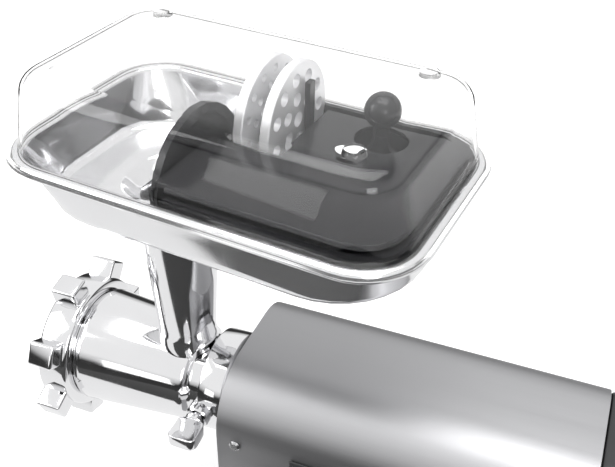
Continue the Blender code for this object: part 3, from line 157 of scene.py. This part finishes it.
# A black card lies on the table in front of the head, seen only in the polished metal.
card_shape = bmesh.new()
bmesh.ops.create_grid(card_shape, x_segments=1, y_segments=1, size=0.5)
bmesh.ops.scale(card_shape, vec=(0.62, 0.38, 1), verts=card_shape.verts)
bmesh.ops.rotate(card_shape, cent=(0, 0, 0), matrix=Matrix.Rotation(math.radians(29), 3, "Z"),
                 verts=card_shape.verts)
bmesh.ops.translate(card_shape, vec=(-0.058, -0.333, 0.004), verts=card_shape.verts)
card_mesh = bpy.data.meshes.new("black_card")
card_shape.to_mesh(card_mesh)
card_shape.free()
card = bpy.data.objects.new("black_card", card_mesh)
bpy.context.scene.collection.objects.link(card)
card_black = bpy.data.materials.new("card_black")
card_black.use_nodes = True
card_face = card_black.node_tree.nodes["Principled BSDF"]
card_face.inputs["Base Color"].default_value = (0.02, 0.02, 0.02, 1)
card_face.inputs["Roughness"].default_value = 1.0
card_mesh.materials.append(card_black)
card.visible_camera = False
card.visible_diffuse = False
card.visible_transmission = False
card.visible_shadow = False

# ---- housing wrap, front panel --------------------------------------------------------------
# One sheet of stainless steel bent over the motor, brushed along its length after bending,
# and a flat front plate of the same steel that the gearbox's nose comes through.


def socket(group, name, way, kind="NodeSocketFloat", value=None):
    """A named input or output on a node group."""
    made = group.interface.new_socket(name=name, in_out=way, socket_type=kind)
    if value is not None:
        made.default_value = value
    return made


def brushing_group():
    """Fine parallel lines along X, with broader streaks, as a height and a shade mask."""
    group = bpy.data.node_groups.new("brushing", "ShaderNodeTree")
    socket(group, "Coordinates", "INPUT", "NodeSocketVector")
    socket(group, "Fineness", "INPUT", value=900.0)
    socket(group, "Height", "OUTPUT")
    socket(group, "Shade", "OUTPUT")
    nodes, links = group.nodes, group.links
    came = nodes.new("NodeGroupInput")
    goes = nodes.new("NodeGroupOutput")
    stretched = nodes.new("ShaderNodeMapping")
    stretched.inputs["Scale"].default_value = (0.012, 1, 1)
    links.new(came.outputs["Coordinates"], stretched.inputs["Vector"])
    lines = nodes.new("ShaderNodeTexNoise")
    lines.inputs["Detail"].default_value = 4
    lines.inputs["Roughness"].default_value = 0.65
    links.new(stretched.outputs["Vector"], lines.inputs["Vector"])
    links.new(came.outputs["Fineness"], lines.inputs["Scale"])
    streaks = nodes.new("ShaderNodeTexNoise")
    streaks.inputs["Scale"].default_value = 90
    streaks.inputs["Detail"].default_value = 3
    links.new(stretched.outputs["Vector"], streaks.inputs["Vector"])
    both = nodes.new("ShaderNodeMath")
    both.operation = "ADD"
    links.new(lines.outputs["Fac"], both.inputs[0])
    links.new(streaks.outputs["Fac"], both.inputs[1])
    halved = nodes.new("ShaderNodeMath")
    halved.operation = "MULTIPLY"
    halved.inputs[1].default_value = 0.5
    links.new(both.outputs[0], halved.inputs[0])
    links.new(lines.outputs["Fac"], goes.inputs["Height"])
    links.new(halved.outputs[0], goes.inputs["Shade"])
    return group


def handling_group():
    """Cloudy smears from wiping and thin random scratches, as masks and a height."""
    group = bpy.data.node_groups.new("handling", "ShaderNodeTree")
    socket(group, "Coordinates", "INPUT", "NodeSocketVector")
    socket(group, "Grain", "INPUT", value=400.0)
    socket(group, "Height", "OUTPUT")
    socket(group, "Shade", "OUTPUT")
    nodes, links = group.nodes, group.links
    came = nodes.new("NodeGroupInput")
    goes = nodes.new("NodeGroupOutput")
    smears = nodes.new("ShaderNodeTexNoise")
    smears.inputs["Scale"].default_value = 28
    smears.inputs["Detail"].default_value = 5
    smears.inputs["Roughness"].default_value = 0.6
    smears.inputs["Distortion"].default_value = 0.6
    links.new(came.outputs["Coordinates"], smears.inputs["Vector"])
    grains = nodes.new("ShaderNodeTexNoise")
    grains.inputs["Detail"].default_value = 3
    links.new(came.outputs["Coordinates"], grains.inputs["Vector"])
    links.new(came.outputs["Grain"], grains.inputs["Scale"])
    links.new(grains.outputs["Fac"], goes.inputs["Height"])
    links.new(smears.outputs["Fac"], goes.inputs["Shade"])
    return group


def finish(name, colour, dull, metallic, roughness, detail, fine, bump, coat=0.0):
    """A material whose colour and roughness drift between two values with a group's marks."""
    made = bpy.data.materials.new(name)
    made.use_nodes = True
    nodes, links = made.node_tree.nodes, made.node_tree.links
    shader = nodes["Principled BSDF"]
    shader.inputs["Metallic"].default_value = metallic
    shader.inputs["Coat Weight"].default_value = coat
    shader.inputs["Coat Roughness"].default_value = 0.05
    where = nodes.new("ShaderNodeTexCoord")
    marks = nodes.new("ShaderNodeGroup")
    marks.node_tree = detail
    marks.inputs[1].default_value = fine
    links.new(where.outputs["Object"], marks.inputs["Coordinates"])
    tone = nodes.new("ShaderNodeMix")
    tone.data_type = "RGBA"
    tone.inputs["A"].default_value = (*dull, 1)
    tone.inputs["B"].default_value = (*colour, 1)
    links.new(marks.outputs["Shade"], tone.inputs["Factor"])
    links.new(tone.outputs["Result"], shader.inputs["Base Color"])
    gloss = nodes.new("ShaderNodeMapRange")
    gloss.inputs["From Min"].default_value = 0.3
    gloss.inputs["From Max"].default_value = 0.7
    gloss.inputs["To Min"].default_value = roughness[0]
    gloss.inputs["To Max"].default_value = roughness[1]
    links.new(marks.outputs["Shade"], gloss.inputs["Value"])
    links.new(gloss.outputs["Result"], shader.inputs["Roughness"])
    relief = nodes.new("ShaderNodeBump")
    relief.inputs["Strength"].default_value = bump
    relief.inputs["Distance"].default_value = 0.0001
    links.new(marks.outputs["Height"], relief.inputs["Height"])
    links.new(relief.outputs["Normal"], shader.inputs["Normal"])
    return made


def dressed(node, material, edge=0.0, angle=32):
    """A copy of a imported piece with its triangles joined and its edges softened."""
    packed = frame["nodes"][node]
    shape = bmesh.new()
    shape.from_mesh(packed.data)
    bmesh.ops.remove_doubles(shape, verts=shape.verts, dist=0.000005)
    bmesh.ops.dissolve_limit(
        shape, angle_limit=math.radians(0.5), verts=shape.verts, edges=shape.edges)
    mesh = bpy.data.meshes.new(node + "_shape")
    shape.to_mesh(mesh)
    shape.free()
    return shown(node + "_finished", mesh, material, packed["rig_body"], [node], edge, angle)


def shown(name, mesh, material, body, nodes, edge=0.0, angle=32):
    """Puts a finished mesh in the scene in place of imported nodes, and rides it on a body."""
    mesh.materials.clear()
    mesh.materials.append(material)
    piece = bpy.data.objects.new(name, mesh)
    bpy.context.scene.collection.objects.link(piece)
    mesh.shade_smooth()
    mesh.set_sharp_from_angle(angle=math.radians(angle))
    if edge:
        rounding = piece.modifiers.new("soft_edges", "BEVEL")
        rounding.width = edge
        rounding.segments = 2
        rounding.limit_method = "ANGLE"
        rounding.angle_limit = math.radians(angle)
        rounding.harden_normals = True
    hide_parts(*nodes)
    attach(piece, body)
    return piece


brushing = brushing_group()
handling = handling_group()
brushed_steel = finish("brushed_steel", (0.46, 0.46, 0.47), (0.38, 0.38, 0.39), 1.0,
                       (0.42, 0.52), brushing, 1500, 0.25)
for node in ("housing_wrap", "front_panel"):
    dressed(node, brushed_steel, 0.0004)

# ---- rear cap, base plate, control panel ------------------------------------------------------
# Black moulded plastic: the cap with its vents closes the rear, the base plate carries the
# feet, and the bezel clips into the near side round the switch and the reverse button.
satin_black = finish("satin_black", (0.024, 0.024, 0.025), (0.016, 0.016, 0.017), 0.0,
                     (0.32, 0.42), handling, 1400, 0.3)
for node in ("rear_cap", "control_panel"):
    dressed(node, satin_black, 0.0005)
dressed("base_plate", satin_black, 0.0004)
gloss_black = finish("gloss_black", (0.016, 0.016, 0.017), (0.009, 0.009, 0.01), 0.0,
                     (0.1, 0.2), handling, 700, 0.05)
gloss_black.node_tree.nodes["Principled BSDF"].inputs["Specular IOR Level"].default_value = 0.3
for node in ("power_rocker", "reverse_button"):
    dressed(node, gloss_black, 0.0004)

# ---- feet, gland and screws ---------------------------------------------------------------------
# Soft rubber feet held by screws from below, a rubber gland where the supply enters, and two
# dome-headed screws that hold the wrap to the front plate.
rubber = finish("rubber", (0.03, 0.03, 0.03), (0.018, 0.018, 0.018), 0.0, (0.68, 0.85),
                handling, 900, 0.5)
for node in ("foot_1", "foot_2", "foot_3", "foot_4", "cord_gland"):
    dressed(node, rubber, 0.0003)
machined = finish("machined_steel", (0.62, 0.62, 0.63), (0.46, 0.46, 0.47), 1.0, (0.2, 0.32),
                  handling, 900, 0.12)
for node in ("foot_screw_1", "foot_screw_2", "foot_screw_3", "foot_screw_4",
             "side_screw_near", "side_screw_far"):
    dressed(node, machined, 0.0002)

# ---- gearbox and motor ----------------------------------------------------------------------------
# Inside the wrap: a cast case with two gear stages, and a brushed motor with laminated iron,
# copper windings and a nylon fan.  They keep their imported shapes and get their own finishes.


def refinish(node, material):
    """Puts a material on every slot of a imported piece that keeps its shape."""
    packed = frame["nodes"][node]
    if not packed.data.materials:
        packed.data.materials.append(material)
    for index in range(len(packed.data.materials)):
        packed.data.materials[index] = material


cast_metal = finish("cast_metal", (0.60, 0.60, 0.61), (0.48, 0.48, 0.49), 1.0, (0.42, 0.58),
                    handling, 1100, 0.6)
winding = finish("winding", (0.72, 0.30, 0.12), (0.50, 0.19, 0.07), 1.0, (0.3, 0.45),
                 brushing, 1200, 0.6)
nylon = finish("nylon", (0.80, 0.78, 0.70), (0.72, 0.69, 0.60), 0.0, (0.4, 0.55),
               handling, 900, 0.2)
laminated = finish("laminated_iron", (0.42, 0.42, 0.43), (0.30, 0.30, 0.31), 1.0, (0.35, 0.5),
                   brushing, 2200, 0.8)
for node in ("gearbox_case", "gearbox_cover", "front_motor_bracket", "rear_motor_bracket"):
    refinish(node, cast_metal)
for node in ("front_field_coil", "rear_field_coil", "commutator", "brush_holder_near",
             "brush_holder_far"):
    refinish(node, winding)
for node in ("idler_wheel", "cooling_fan"):
    refinish(node, nylon)
for node in ("motor_stator", "rotor_core"):
    refinish(node, laminated)
for node in ("output_front_bearing", "output_rear_bearing", "front_motor_bearing",
             "rear_motor_bearing", "motor_shaft", "motor_pinion", "idler_shaft", "idler_pinion",
             "output_shaft", "output_gear"):
    refinish(node, machined)

# ---- clamp collar and lock knob ---------------------------------------------------------------------
# A polished cast collar on the housing's nose takes the head's neck.  Its boss holds the lock
# knob, a screw with a flat flared wing that is tightened by hand.
plate_low, plate_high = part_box("grinding_plate")
axle = (plate_low + plate_high) / 2
head_front = plate_low.x
THROAT_FROM_MOUTH = 0.090
THROAT_X = head_front + THROAT_FROM_MOUTH


def spun(name, profile, start, along, steps=96):
    """A shape turned from a profile of (distance along the axis, radius) points, in mm.

    The profile is a closed outline, or one that begins and ends on the axis.
    """
    shape = bmesh.new()
    corners = [shape.verts.new((0.001 * radius, 0, 0.001 * far)) for far, radius in profile]
    pairs = list(zip(corners, corners[1:]))
    if profile[0][1] > 0:
        pairs.append((corners[-1], corners[0]))
    edges = [shape.edges.new(pair) for pair in pairs]
    bmesh.ops.spin(shape, geom=corners + edges, cent=(0, 0, 0), axis=(0, 0, 1),
                   dvec=(0, 0, 0), angle=2 * math.pi, steps=steps, use_merge=True)
    bmesh.ops.remove_doubles(shape, verts=shape.verts, dist=0.000002)
    bmesh.ops.recalc_face_normals(shape, faces=shape.faces)
    turn = Vector((0, 0, 1)).rotation_difference(Vector(along)).to_matrix().to_4x4()
    bmesh.ops.transform(shape, matrix=Matrix.Translation(start) @ turn, verts=shape.verts)
    mesh = bpy.data.meshes.new(name)
    shape.to_mesh(mesh)
    shape.free()
    return mesh


def carved(mesh, *steps):
    """The mesh after joining or cutting away other meshes, given as (mesh, operation) pairs."""
    body = bpy.data.objects.new("body", mesh)
    bpy.context.scene.collection.objects.link(body)
    tools = []
    for other, operation in steps:
        tool = bpy.data.objects.new("tool", other)
        bpy.context.scene.collection.objects.link(tool)
        step = body.modifiers.new("step", "BOOLEAN")
        step.object = tool
        step.operation = operation
        step.solver = "EXACT"
        tools.append(tool)
    bpy.context.view_layer.update()
    graph = bpy.context.evaluated_depsgraph_get()
    done = bpy.data.meshes.new_from_object(body.evaluated_get(graph))
    for spent in [body, *tools]:
        bpy.data.objects.remove(spent)
    return done


polished = finish("polished_metal", (0.84, 0.84, 0.85), (0.77, 0.77, 0.78), 1.0, (0.05, 0.12),
                  handling, 260, 0.05)
KNOB_BEHIND_RING = 0.0035
NECK_BORE = 29.4
collar_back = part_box("socket_collar")[1].x
knob_low, knob_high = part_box("lock_knob")
knob_seat = Vector(((knob_low.x + knob_high.x) / 2, axle.y, axle.z))
collar_at = knob_seat - Vector((KNOB_BEHIND_RING, 0, 0))
sleeve = 1000 * (collar_back - collar_at.x)
collar_mesh = spun("collar_ring", [
    (sleeve, NECK_BORE), (sleeve, 31.0), (19.5, 31.0), (18.6, 34.4), (17.6, 35.6), (16.5, 36.0),
    (1.8, 36.0), (0.7, 35.6), (0.0, 34.6), (0.0, NECK_BORE + 0.2), (0.4, NECK_BORE)],
    collar_at, (1, 0, 0))
boss = spun("boss", [
    (25, 0), (25, 8.5), (41.0, 8.5), (42.0, 7.5), (42.0, 0)], knob_seat, (0, -1, 0), 48)
boss_hole = spun("boss_hole", [
    (10, 0), (10, 4.5), (60, 4.5), (60, 0)], knob_seat, (0, -1, 0), 48)
bore = spun("collar_bore", [
    (-12, 0), (-12, NECK_BORE), (40, NECK_BORE), (40, 0)], collar_at, (1, 0, 0))
collar_mesh = carved(
    collar_mesh, (boss, "UNION"), (bore, "DIFFERENCE"), (boss_hole, "DIFFERENCE"))
shown("collar", collar_mesh, polished, "machine", ["socket_collar"])

# The knob's wing is a pad, a little wider and thinner at its outer end than at its root.
OUTER_WIDTH, OUTER_THICKNESS = 0.0204, 0.0088
ROOT_WIDTH, ROOT_THICKNESS, ROOT_REACH = 0.0196, 0.0092, 0.0462
outer_reach = axle.y - knob_low.y - 0.0002
knob_shape = bmesh.new()
bmesh.ops.create_cube(knob_shape, size=1.0)
for corner in knob_shape.verts:
    outer = corner.co.y < 0
    corner.co.x *= OUTER_WIDTH if outer else ROOT_WIDTH
    corner.co.z *= OUTER_THICKNESS if outer else ROOT_THICKNESS
    corner.co.y = -outer_reach if outer else -ROOT_REACH
upright = [edge for edge in knob_shape.edges
           if abs(edge.verts[0].co.z - edge.verts[1].co.z) > 0.5 * edge.calc_length()]
bmesh.ops.bevel(knob_shape, geom=upright, offset=0.0052, segments=6, profile=0.5,
                affect="EDGES", material=-1)
faces = [face for face in knob_shape.faces if abs(face.normal.z) > 0.9]
rim = [edge for face in faces for edge in face.edges]
bmesh.ops.bevel(knob_shape, geom=list(set(rim)), offset=0.0009, segments=3, profile=0.5,
                affect="EDGES", material=-1)
bmesh.ops.translate(knob_shape, vec=knob_seat, verts=knob_shape.verts)
wing = bpy.data.meshes.new("knob_wing")
knob_shape.to_mesh(wing)
knob_shape.free()
knob_screw = spun("knob_screw", [
    (30.4, 0), (30.4, 3.6), (31.0, 4.0), (43.2, 4.0), (43.2, 6.4), (43.8, 7.0), (46.4, 7.0),
    (47.0, 6.4), (47.0, 0)], knob_seat, (0, -1, 0), 48)
shown("knob", carved(wing, (knob_screw, "UNION")), polished, "knob", ["lock_knob"])

# ---- grinder head -----------------------------------------------------------------------------------
# One polished casting: a barrel that widens to its threaded mouth, a neck that slides into the
# collar, and a tapered throat above that carries the pan.
head_at = Vector((head_front, axle.y, axle.z))
barrel = spun("barrel", [
    (0, 0), (0, 38.6), (0.6, 39.0), (17.6, 39.0), (18.4, 40.4), (19.6, 41.0), (23.0, 41.0),
    (60.0, 38.0), (95.0, 35.1), (97.4, 34.6), (99.2, 33.4), (100.6, 31.4), (102.0, 29.6),
    (104.0, 29.0), (135.8, 29.0), (136.5, 28.4), (136.5, 0)], head_at, (1, 0, 0), 120)
throat_foot = Vector((THROAT_X, axle.y, axle.z))
throat = spun("throat", [
    (26, 0), (26, 20.5), (35.0, 20.5), (40.0, 19.7), (43.0, 19.5), (47.0, 19.8), (139.0, 25.5),
    (143.0, 25.8), (144.4, 26.4), (145.6, 28.2), (146.4, 29.0), (148.6, 29.0), (149.2, 28.4),
    (149.2, 0)], throat_foot, (0, 0, 1), 96)
throat_hollow = spun("throat_hollow", [
    (5, 0), (5, 16.5), (35, 16.5), (146, 22.7), (154, 24.4), (154, 0)], throat_foot, (0, 0, 1), 96)
chamber = spun("chamber", [
    (-5, 0), (-5, 35.4), (6.4, 35.4), (6.4, 32.0), (98.0, 32.0), (98.0, 10.5), (112.0, 10.5),
    (112.0, 14.2), (150, 14.2), (150, 0)], head_at, (1, 0, 0), 120)
head_mesh = carved(
    barrel, (throat, "UNION"), (chamber, "DIFFERENCE"), (throat_hollow, "DIFFERENCE"))
shown("head", head_mesh, polished, "head", ["grinder_head"], 0.0003, 40)

# ---- ring nut ---------------------------------------------------------------------------------------
# A heavy polished ring with seven square lugs to grip, screwed over the mouth of the barrel.
nut_at = Vector((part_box("ring_nut")[0].x, axle.y, axle.z))
nut = spun("nut", [
    (23.0, 39.5), (23.0, 45.6), (22.4, 46.6), (21.4, 47.3), (20.0, 47.5), (2.4, 47.5),
    (1.0, 47.0), (0.2, 45.9), (0, 44.8), (0, 31.6), (0.5, 31.2), (6.6, 32.0), (6.6, 39.5)],
    nut_at, (1, 0, 0), 120)
LUG_COUNT, FIRST_LUG = 7, math.radians(11.4)
LUG_SIZE = (0.019, 0.017, 0.0165)
LUG_FROM_FACE, LUG_RADIUS = 0.0105, 0.05175
lugs = []
for count in range(LUG_COUNT):
    lug_shape = bmesh.new()
    bmesh.ops.create_cube(lug_shape, size=1.0)
    bmesh.ops.scale(lug_shape, vec=LUG_SIZE, verts=lug_shape.verts)
    bmesh.ops.translate(
        lug_shape, vec=(LUG_FROM_FACE, 0, LUG_RADIUS), verts=lug_shape.verts)
    outer_edges = [edge for edge in lug_shape.edges if max(v.co.z for v in edge.verts) > 0.05]
    bmesh.ops.bevel(lug_shape, geom=outer_edges, offset=0.0019, segments=4, profile=0.5,
                    affect="EDGES", material=-1)
    bmesh.ops.transform(
        lug_shape, matrix=Matrix.Translation(nut_at) @ Matrix.Rotation(
            FIRST_LUG + 2 * math.pi * count / LUG_COUNT, 4, "X"), verts=lug_shape.verts)
    lug = bpy.data.meshes.new("lug")
    lug_shape.to_mesh(lug)
    lug_shape.free()
    lugs.append((lug, "UNION"))
shown("nut", carved(nut, *lugs), polished, "nut", ["ring_nut"], 0.0005, 40)

# ---- auger, knife and grinding plates ---------------------------------------------------------------
# A cast auger pushes the meat into a four-armed knife, which turns against a drilled plate of
# hard steel.  Two more plates with finer and coarser holes stand in the caddy.
refinish("auger", cast_metal)
dressed("knife", machined, 0.0003)
plate_steel = finish("plate_steel", (0.76, 0.76, 0.77), (0.66, 0.66, 0.67), 0.75, (0.34, 0.44),
                     handling, 800, 0.1)


PLATE_RADIUS, PLATE_THICKNESS, PLATE_EDGE, PIN_HOLE = 35.0, 6.0, 0.6, 4.7


def drilled_plate(name, centre, facing, rings, node, body):
    """A round plate with rings of holes, each ring (count, ring radius, hole radius), in mm."""
    disc = spun(name, [
        (0, 0), (0, PLATE_RADIUS - PLATE_EDGE), (PLATE_EDGE, PLATE_RADIUS),
        (PLATE_THICKNESS - PLATE_EDGE, PLATE_RADIUS),
        (PLATE_THICKNESS, PLATE_RADIUS - PLATE_EDGE), (PLATE_THICKNESS, 0)], centre, facing, 96)
    drills = bmesh.new()
    turn = Vector((0, 0, 1)).rotation_difference(Vector(facing)).to_matrix().to_4x4()
    holes = [(0, 0, PIN_HOLE)]
    for ring, (count, ring_radius, hole_radius) in enumerate(rings):
        for step in range(count):
            angle = 2 * math.pi * (step + 0.5 * (ring % 2)) / count
            holes.append((ring_radius * math.cos(angle), ring_radius * math.sin(angle), hole_radius))
    for y, z, hole_radius in holes:
        spot = Matrix.Translation((0.001 * y, 0.001 * z, 0.0005 * PLATE_THICKNESS))
        bmesh.ops.create_cone(drills, cap_ends=True, segments=24, radius1=0.001 * hole_radius,
                              radius2=0.001 * hole_radius, depth=0.002 * PLATE_THICKNESS,
                              matrix=Matrix.Translation(centre) @ turn @ spot)
    drill_mesh = bpy.data.meshes.new("drills")
    drills.to_mesh(drill_mesh)
    drills.free()
    plate = carved(disc, (drill_mesh, "DIFFERENCE"))
    return shown(name, plate, plate_steel, body, [node], 0.0003, 40)


PAN_YAW = math.radians(-6.2)
pan_turn = Matrix.Rotation(PAN_YAW, 4, "Z")
along_pan = pan_turn @ Vector((1, 0, 0))
drilled_plate("head_plate", head_at, (1, 0, 0), ((6, 12.5, 3.4), (13, 25.5, 3.4)),
              "grinding_plate", "head")
for name, node, rings in (
    ("spare_fine", "fine_plate", ((6, 12.0, 2.6), (9, 19.0, 2.6), (13, 28.0, 2.6))),
    ("spare_coarse", "coarse_plate", ((6, 13.5, 4.2), (11, 26.0, 4.2))),
):
    low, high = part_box(node)
    near_face = (low + high) / 2 - along_pan * 0.0005 * PLATE_THICKNESS
    drilled_plate(name, near_face, along_pan, rings, node, "pan")

# ---- meat pan ---------------------------------------------------------------------------------------
# Pressed from one sheet of stainless steel and polished: a rolled rim, sloping sides, and a dished
# hole whose spout drops into the throat.
pan_centre = Matrix.Translation((THROAT_X, axle.y, axle.z)) @ pan_turn
PAN_LENGTH, PAN_WIDTH, PAN_CORNER, PAN_RIM_HEIGHT = 250.0, 153.0, 35.0, 194.0
PAN_BEHIND_THROAT = 52.5
CORNER_POINTS = 9


def rounded_row(shape, inset, height, corner=PAN_CORNER):
    """A closed row of points round the pan, `inset` inside its edge, in mm."""
    radius = max(corner - inset, 4.0)
    points = []
    for side_x, side_y, quarter in ((1, 1, 0), (-1, 1, 1), (-1, -1, 2), (1, -1, 3)):
        for step in range(CORNER_POINTS):
            angle = math.pi / 2 * (quarter + step / (CORNER_POINTS - 1))
            points.append((
                PAN_BEHIND_THROAT + side_x * (PAN_LENGTH / 2 - inset - radius)
                + radius * math.cos(angle),
                side_y * (PAN_WIDTH / 2 - inset - radius) + radius * math.sin(angle)))
    return [shape.verts.new((0.001 * x, 0.001 * y, 0.001 * height)) for x, y in points]


def round_row(shape, like, radius, height):
    """A row on a circle about the throat, with a point towards each point of another row."""
    angles = [math.atan2(vert.co.y, vert.co.x) for vert in like]
    return [
        shape.verts.new(
            (0.001 * radius * math.cos(a), 0.001 * radius * math.sin(a), 0.001 * height))
        for a in angles
    ]


def skinned(name, shape, rows, thickness, offset, closed=False):
    """A mesh through rows of points, with a sheet's thickness, in the pan's turned place."""
    for lower, upper in zip(rows, rows[1:]):
        for index in range(len(lower)):
            after = (index + 1) % len(lower)
            shape.faces.new((lower[index], lower[after], upper[after], upper[index]))
    if closed:
        shape.faces.new(rows[-1])
    bmesh.ops.recalc_face_normals(shape, faces=shape.faces)
    bmesh.ops.transform(shape, matrix=pan_centre, verts=shape.verts)
    mesh = bpy.data.meshes.new(name)
    shape.to_mesh(mesh)
    shape.free()
    skin = bpy.data.objects.new(name, mesh)
    bpy.context.scene.collection.objects.link(skin)
    sheet = skin.modifiers.new("sheet", "SOLIDIFY")
    sheet.thickness = thickness
    sheet.offset = offset
    sheet.use_even_offset = True
    bpy.context.view_layer.update()
    graph = bpy.context.evaluated_depsgraph_get()
    done = bpy.data.meshes.new_from_object(skin.evaluated_get(graph))
    bpy.data.objects.remove(skin)
    return done


pan_shape = bmesh.new()
pan_rows = [rounded_row(pan_shape, inset, height, corner) for inset, height, corner in (
    (1.1, 188.6, 35), (0.5, 189.2, 35), (0.1, 190.4, 35), (0.1, 191.8, 35), (0.6, 193.2, 35),
    (1.8, 193.9, 35), (3.4, 194.0, 35), (4.6, 193.7, 35), (5.6, 192.6, 35), (6.0, 191.0, 35),
    (7.2, 179.0, 47), (8.3, 168.0, 58), (8.9, 165.2, 59), (10.0, 162.8, 59), (11.6, 160.9, 59),
    (14.0, 159.5, 59), (17.0, 159.0, 59))]
brim = pan_rows[-1]
pan_rows += [round_row(pan_shape, brim, radius, height) for radius, height in (
    (34.0, 159.0), (32.6, 158.7), (31.6, 157.9), (30.2, 156.2), (24.6, 151.8), (22.9, 150.6),
    (21.8, 149.4), (21.4, 148.0), (20.1, 129.2))]
pan_steel = finish("pan_steel", (0.80, 0.80, 0.81), (0.72, 0.72, 0.73), 0.94, (0.08, 0.15),
                   handling, 260, 0.03)
PAN_SHEET = 0.0012
shown("pan", skinned("pan_sheet", pan_shape, pan_rows, PAN_SHEET, 0.0), pan_steel, "pan",
      ["meat_pan"], angle=50)

# ---- accessory caddy --------------------------------------------------------------------------------
# Glossy black moulding that fills the right of the pan: a tray with an arched end plate, racks for
# the plates, a flat cover over the near side and the right end, and a plain pale oval on it.
for node in ("accessory_caddy", "caddy_cover"):
    dressed(node, gloss_black, 0.0005, 40)
pale = finish("pale_enamel", (0.66, 0.66, 0.66), (0.58, 0.58, 0.58), 0.0, (0.45, 0.55),
              handling, 500, 0.05)
dressed("caddy_badge", pale, 0.0002)

# ---- stomper ----------------------------------------------------------------------------------------
# A turned black pusher that drives meat down the throat, with a ball to hold it by.
low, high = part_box("stomper_body")
stomper_at = Vector(((low.x + high.x) / 2, (low.y + high.y) / 2, low.z))
tall = 1000 * (high.z - low.z)
shown("stomper", spun("stomper_shape", [
    (0, 0), (0, 12.4), (0.4, 13.5), (1.5, 14.0), (tall - 18.2, 14.0), (tall - 16.4, 13.6),
    (tall - 14.4, 12.0), (tall - 10.0, 7.6), (tall - 8.0, 6.0), (tall - 4.0, 5.0),
    (tall, 4.5), (tall, 0)], stomper_at, (0, 0, 1), 72), gloss_black, "pan", ["stomper_body"],
    angle=40)
BALL_RADIUS = 10.45
low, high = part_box("stomper_knob")
ball_at = Vector(((low.x + high.x) / 2, (low.y + high.y) / 2, high.z - 0.0105))
ball = [(BALL_RADIUS, 0)]
for degrees in range(6, 151, 6):
    angle = math.radians(degrees)
    ball.append((BALL_RADIUS * math.cos(angle), BALL_RADIUS * math.sin(angle)))
ball += [(-11.0, 4.9), (-13.9, 5.0), (-13.9, 0)]
shown("stomper_ball", spun("ball_shape", ball, ball_at, (0, 0, 1), 72), gloss_black, "pan",
      ["stomper_knob"], angle=40)

# ---- clear lid --------------------------------------------------------------------------------------
# A vacuum-formed dome of clear plastic that rests over the pan's rim, with a flat flange, rounded
# shoulders and four small feet on top so that lids stack.
RIM_SHEET, LID_GAP = 0.6, 0.4
LID_HEIGHT, LID_INSET, LID_ROUND, LID_ROUND_STEPS, LID_SHEET = 46.0, 10.0, 13.0, 8, 0.0022
FOOT_ALONG, FOOT_ACROSS, FOOT_SUNK = 87.0, 47.6, 1.0
lid_base = PAN_RIM_HEIGHT + RIM_SHEET + LID_GAP
lid_top = lid_base + LID_HEIGHT
lid_shape = bmesh.new()
lid_outline = [
    (-3.4, lid_base - 2.5), (-3.4, lid_base + 1.2), (-3.0, lid_base + 2.0), (-2.2, lid_base + 2.2),
    (3.0, lid_base + 2.2), (4.2, lid_base + 2.8), (4.8, lid_base + 4.2)]
for step in range(LID_ROUND_STEPS + 1):
    angle = math.pi / 2 * step / LID_ROUND_STEPS
    lid_outline.append((LID_INSET + LID_ROUND * (1 - math.cos(angle)),
                        lid_top - LID_ROUND + LID_ROUND * math.sin(angle)))
lid_rows = [rounded_row(lid_shape, inset, height) for inset, height in lid_outline]
lid_mesh = skinned("lid_sheet", lid_shape, lid_rows, LID_SHEET, -1.0, closed=True)
feet = []
for side_x, side_y in ((1, 1), (-1, 1), (-1, -1), (1, -1)):
    spot = pan_centre @ (0.001 * Vector((
        PAN_BEHIND_THROAT + side_x * FOOT_ALONG, side_y * FOOT_ACROSS, lid_top - FOOT_SUNK)))
    foot = spun("lid_foot", [
        (0, 0), (0, 6.4), (3.0, 5.7), (3.7, 5.3), (4.0, 4.6), (4.0, 0)], spot, (0, 0, 1), 48)
    feet.append((foot, "UNION"))
clear = bpy.data.materials.new("clear_plastic")
clear.use_nodes = True
nodes, links = clear.node_tree.nodes, clear.node_tree.links
glass = nodes["Principled BSDF"]
glass.inputs["Base Color"].default_value = (0.97, 0.97, 0.97, 1)
glass.inputs["Transmission Weight"].default_value = 1.0
glass.inputs["IOR"].default_value = 1.08
glass.inputs["Coat Weight"].default_value = 0.45
glass.inputs["Coat IOR"].default_value = 1.5
glass.inputs["Coat Roughness"].default_value = 0.02
where = nodes.new("ShaderNodeTexCoord")
marks = nodes.new("ShaderNodeGroup")
marks.node_tree = handling
marks.inputs["Grain"].default_value = 60
links.new(where.outputs["Object"], marks.inputs["Coordinates"])
haze = nodes.new("ShaderNodeMapRange")
haze.inputs["From Min"].default_value = 0.3
haze.inputs["From Max"].default_value = 0.7
haze.inputs["To Min"].default_value = 0.01
haze.inputs["To Max"].default_value = 0.035
links.new(marks.outputs["Shade"], haze.inputs["Value"])
links.new(haze.outputs["Result"], glass.inputs["Roughness"])
ripple = nodes.new("ShaderNodeBump")
ripple.inputs["Strength"].default_value = 0.03
ripple.inputs["Distance"].default_value = 0.0002
links.new(marks.outputs["Height"], ripple.inputs["Height"])
links.new(ripple.outputs["Normal"], glass.inputs["Normal"])
through = nodes.new("ShaderNodeBsdfTransparent")
through.inputs["Color"].default_value = (0.93, 0.93, 0.93, 1)
ray = nodes.new("ShaderNodeLightPath")
lets_light = nodes.new("ShaderNodeMixShader")
links.new(ray.outputs["Is Shadow Ray"], lets_light.inputs["Fac"])
links.new(glass.outputs["BSDF"], lets_light.inputs[1])
links.new(through.outputs["BSDF"], lets_light.inputs[2])
links.new(lets_light.outputs["Shader"], nodes["Material Output"].inputs["Surface"])
shown("lid", carved(lid_mesh, *feet), clear, "lid", ["clear_lid"], angle=40)
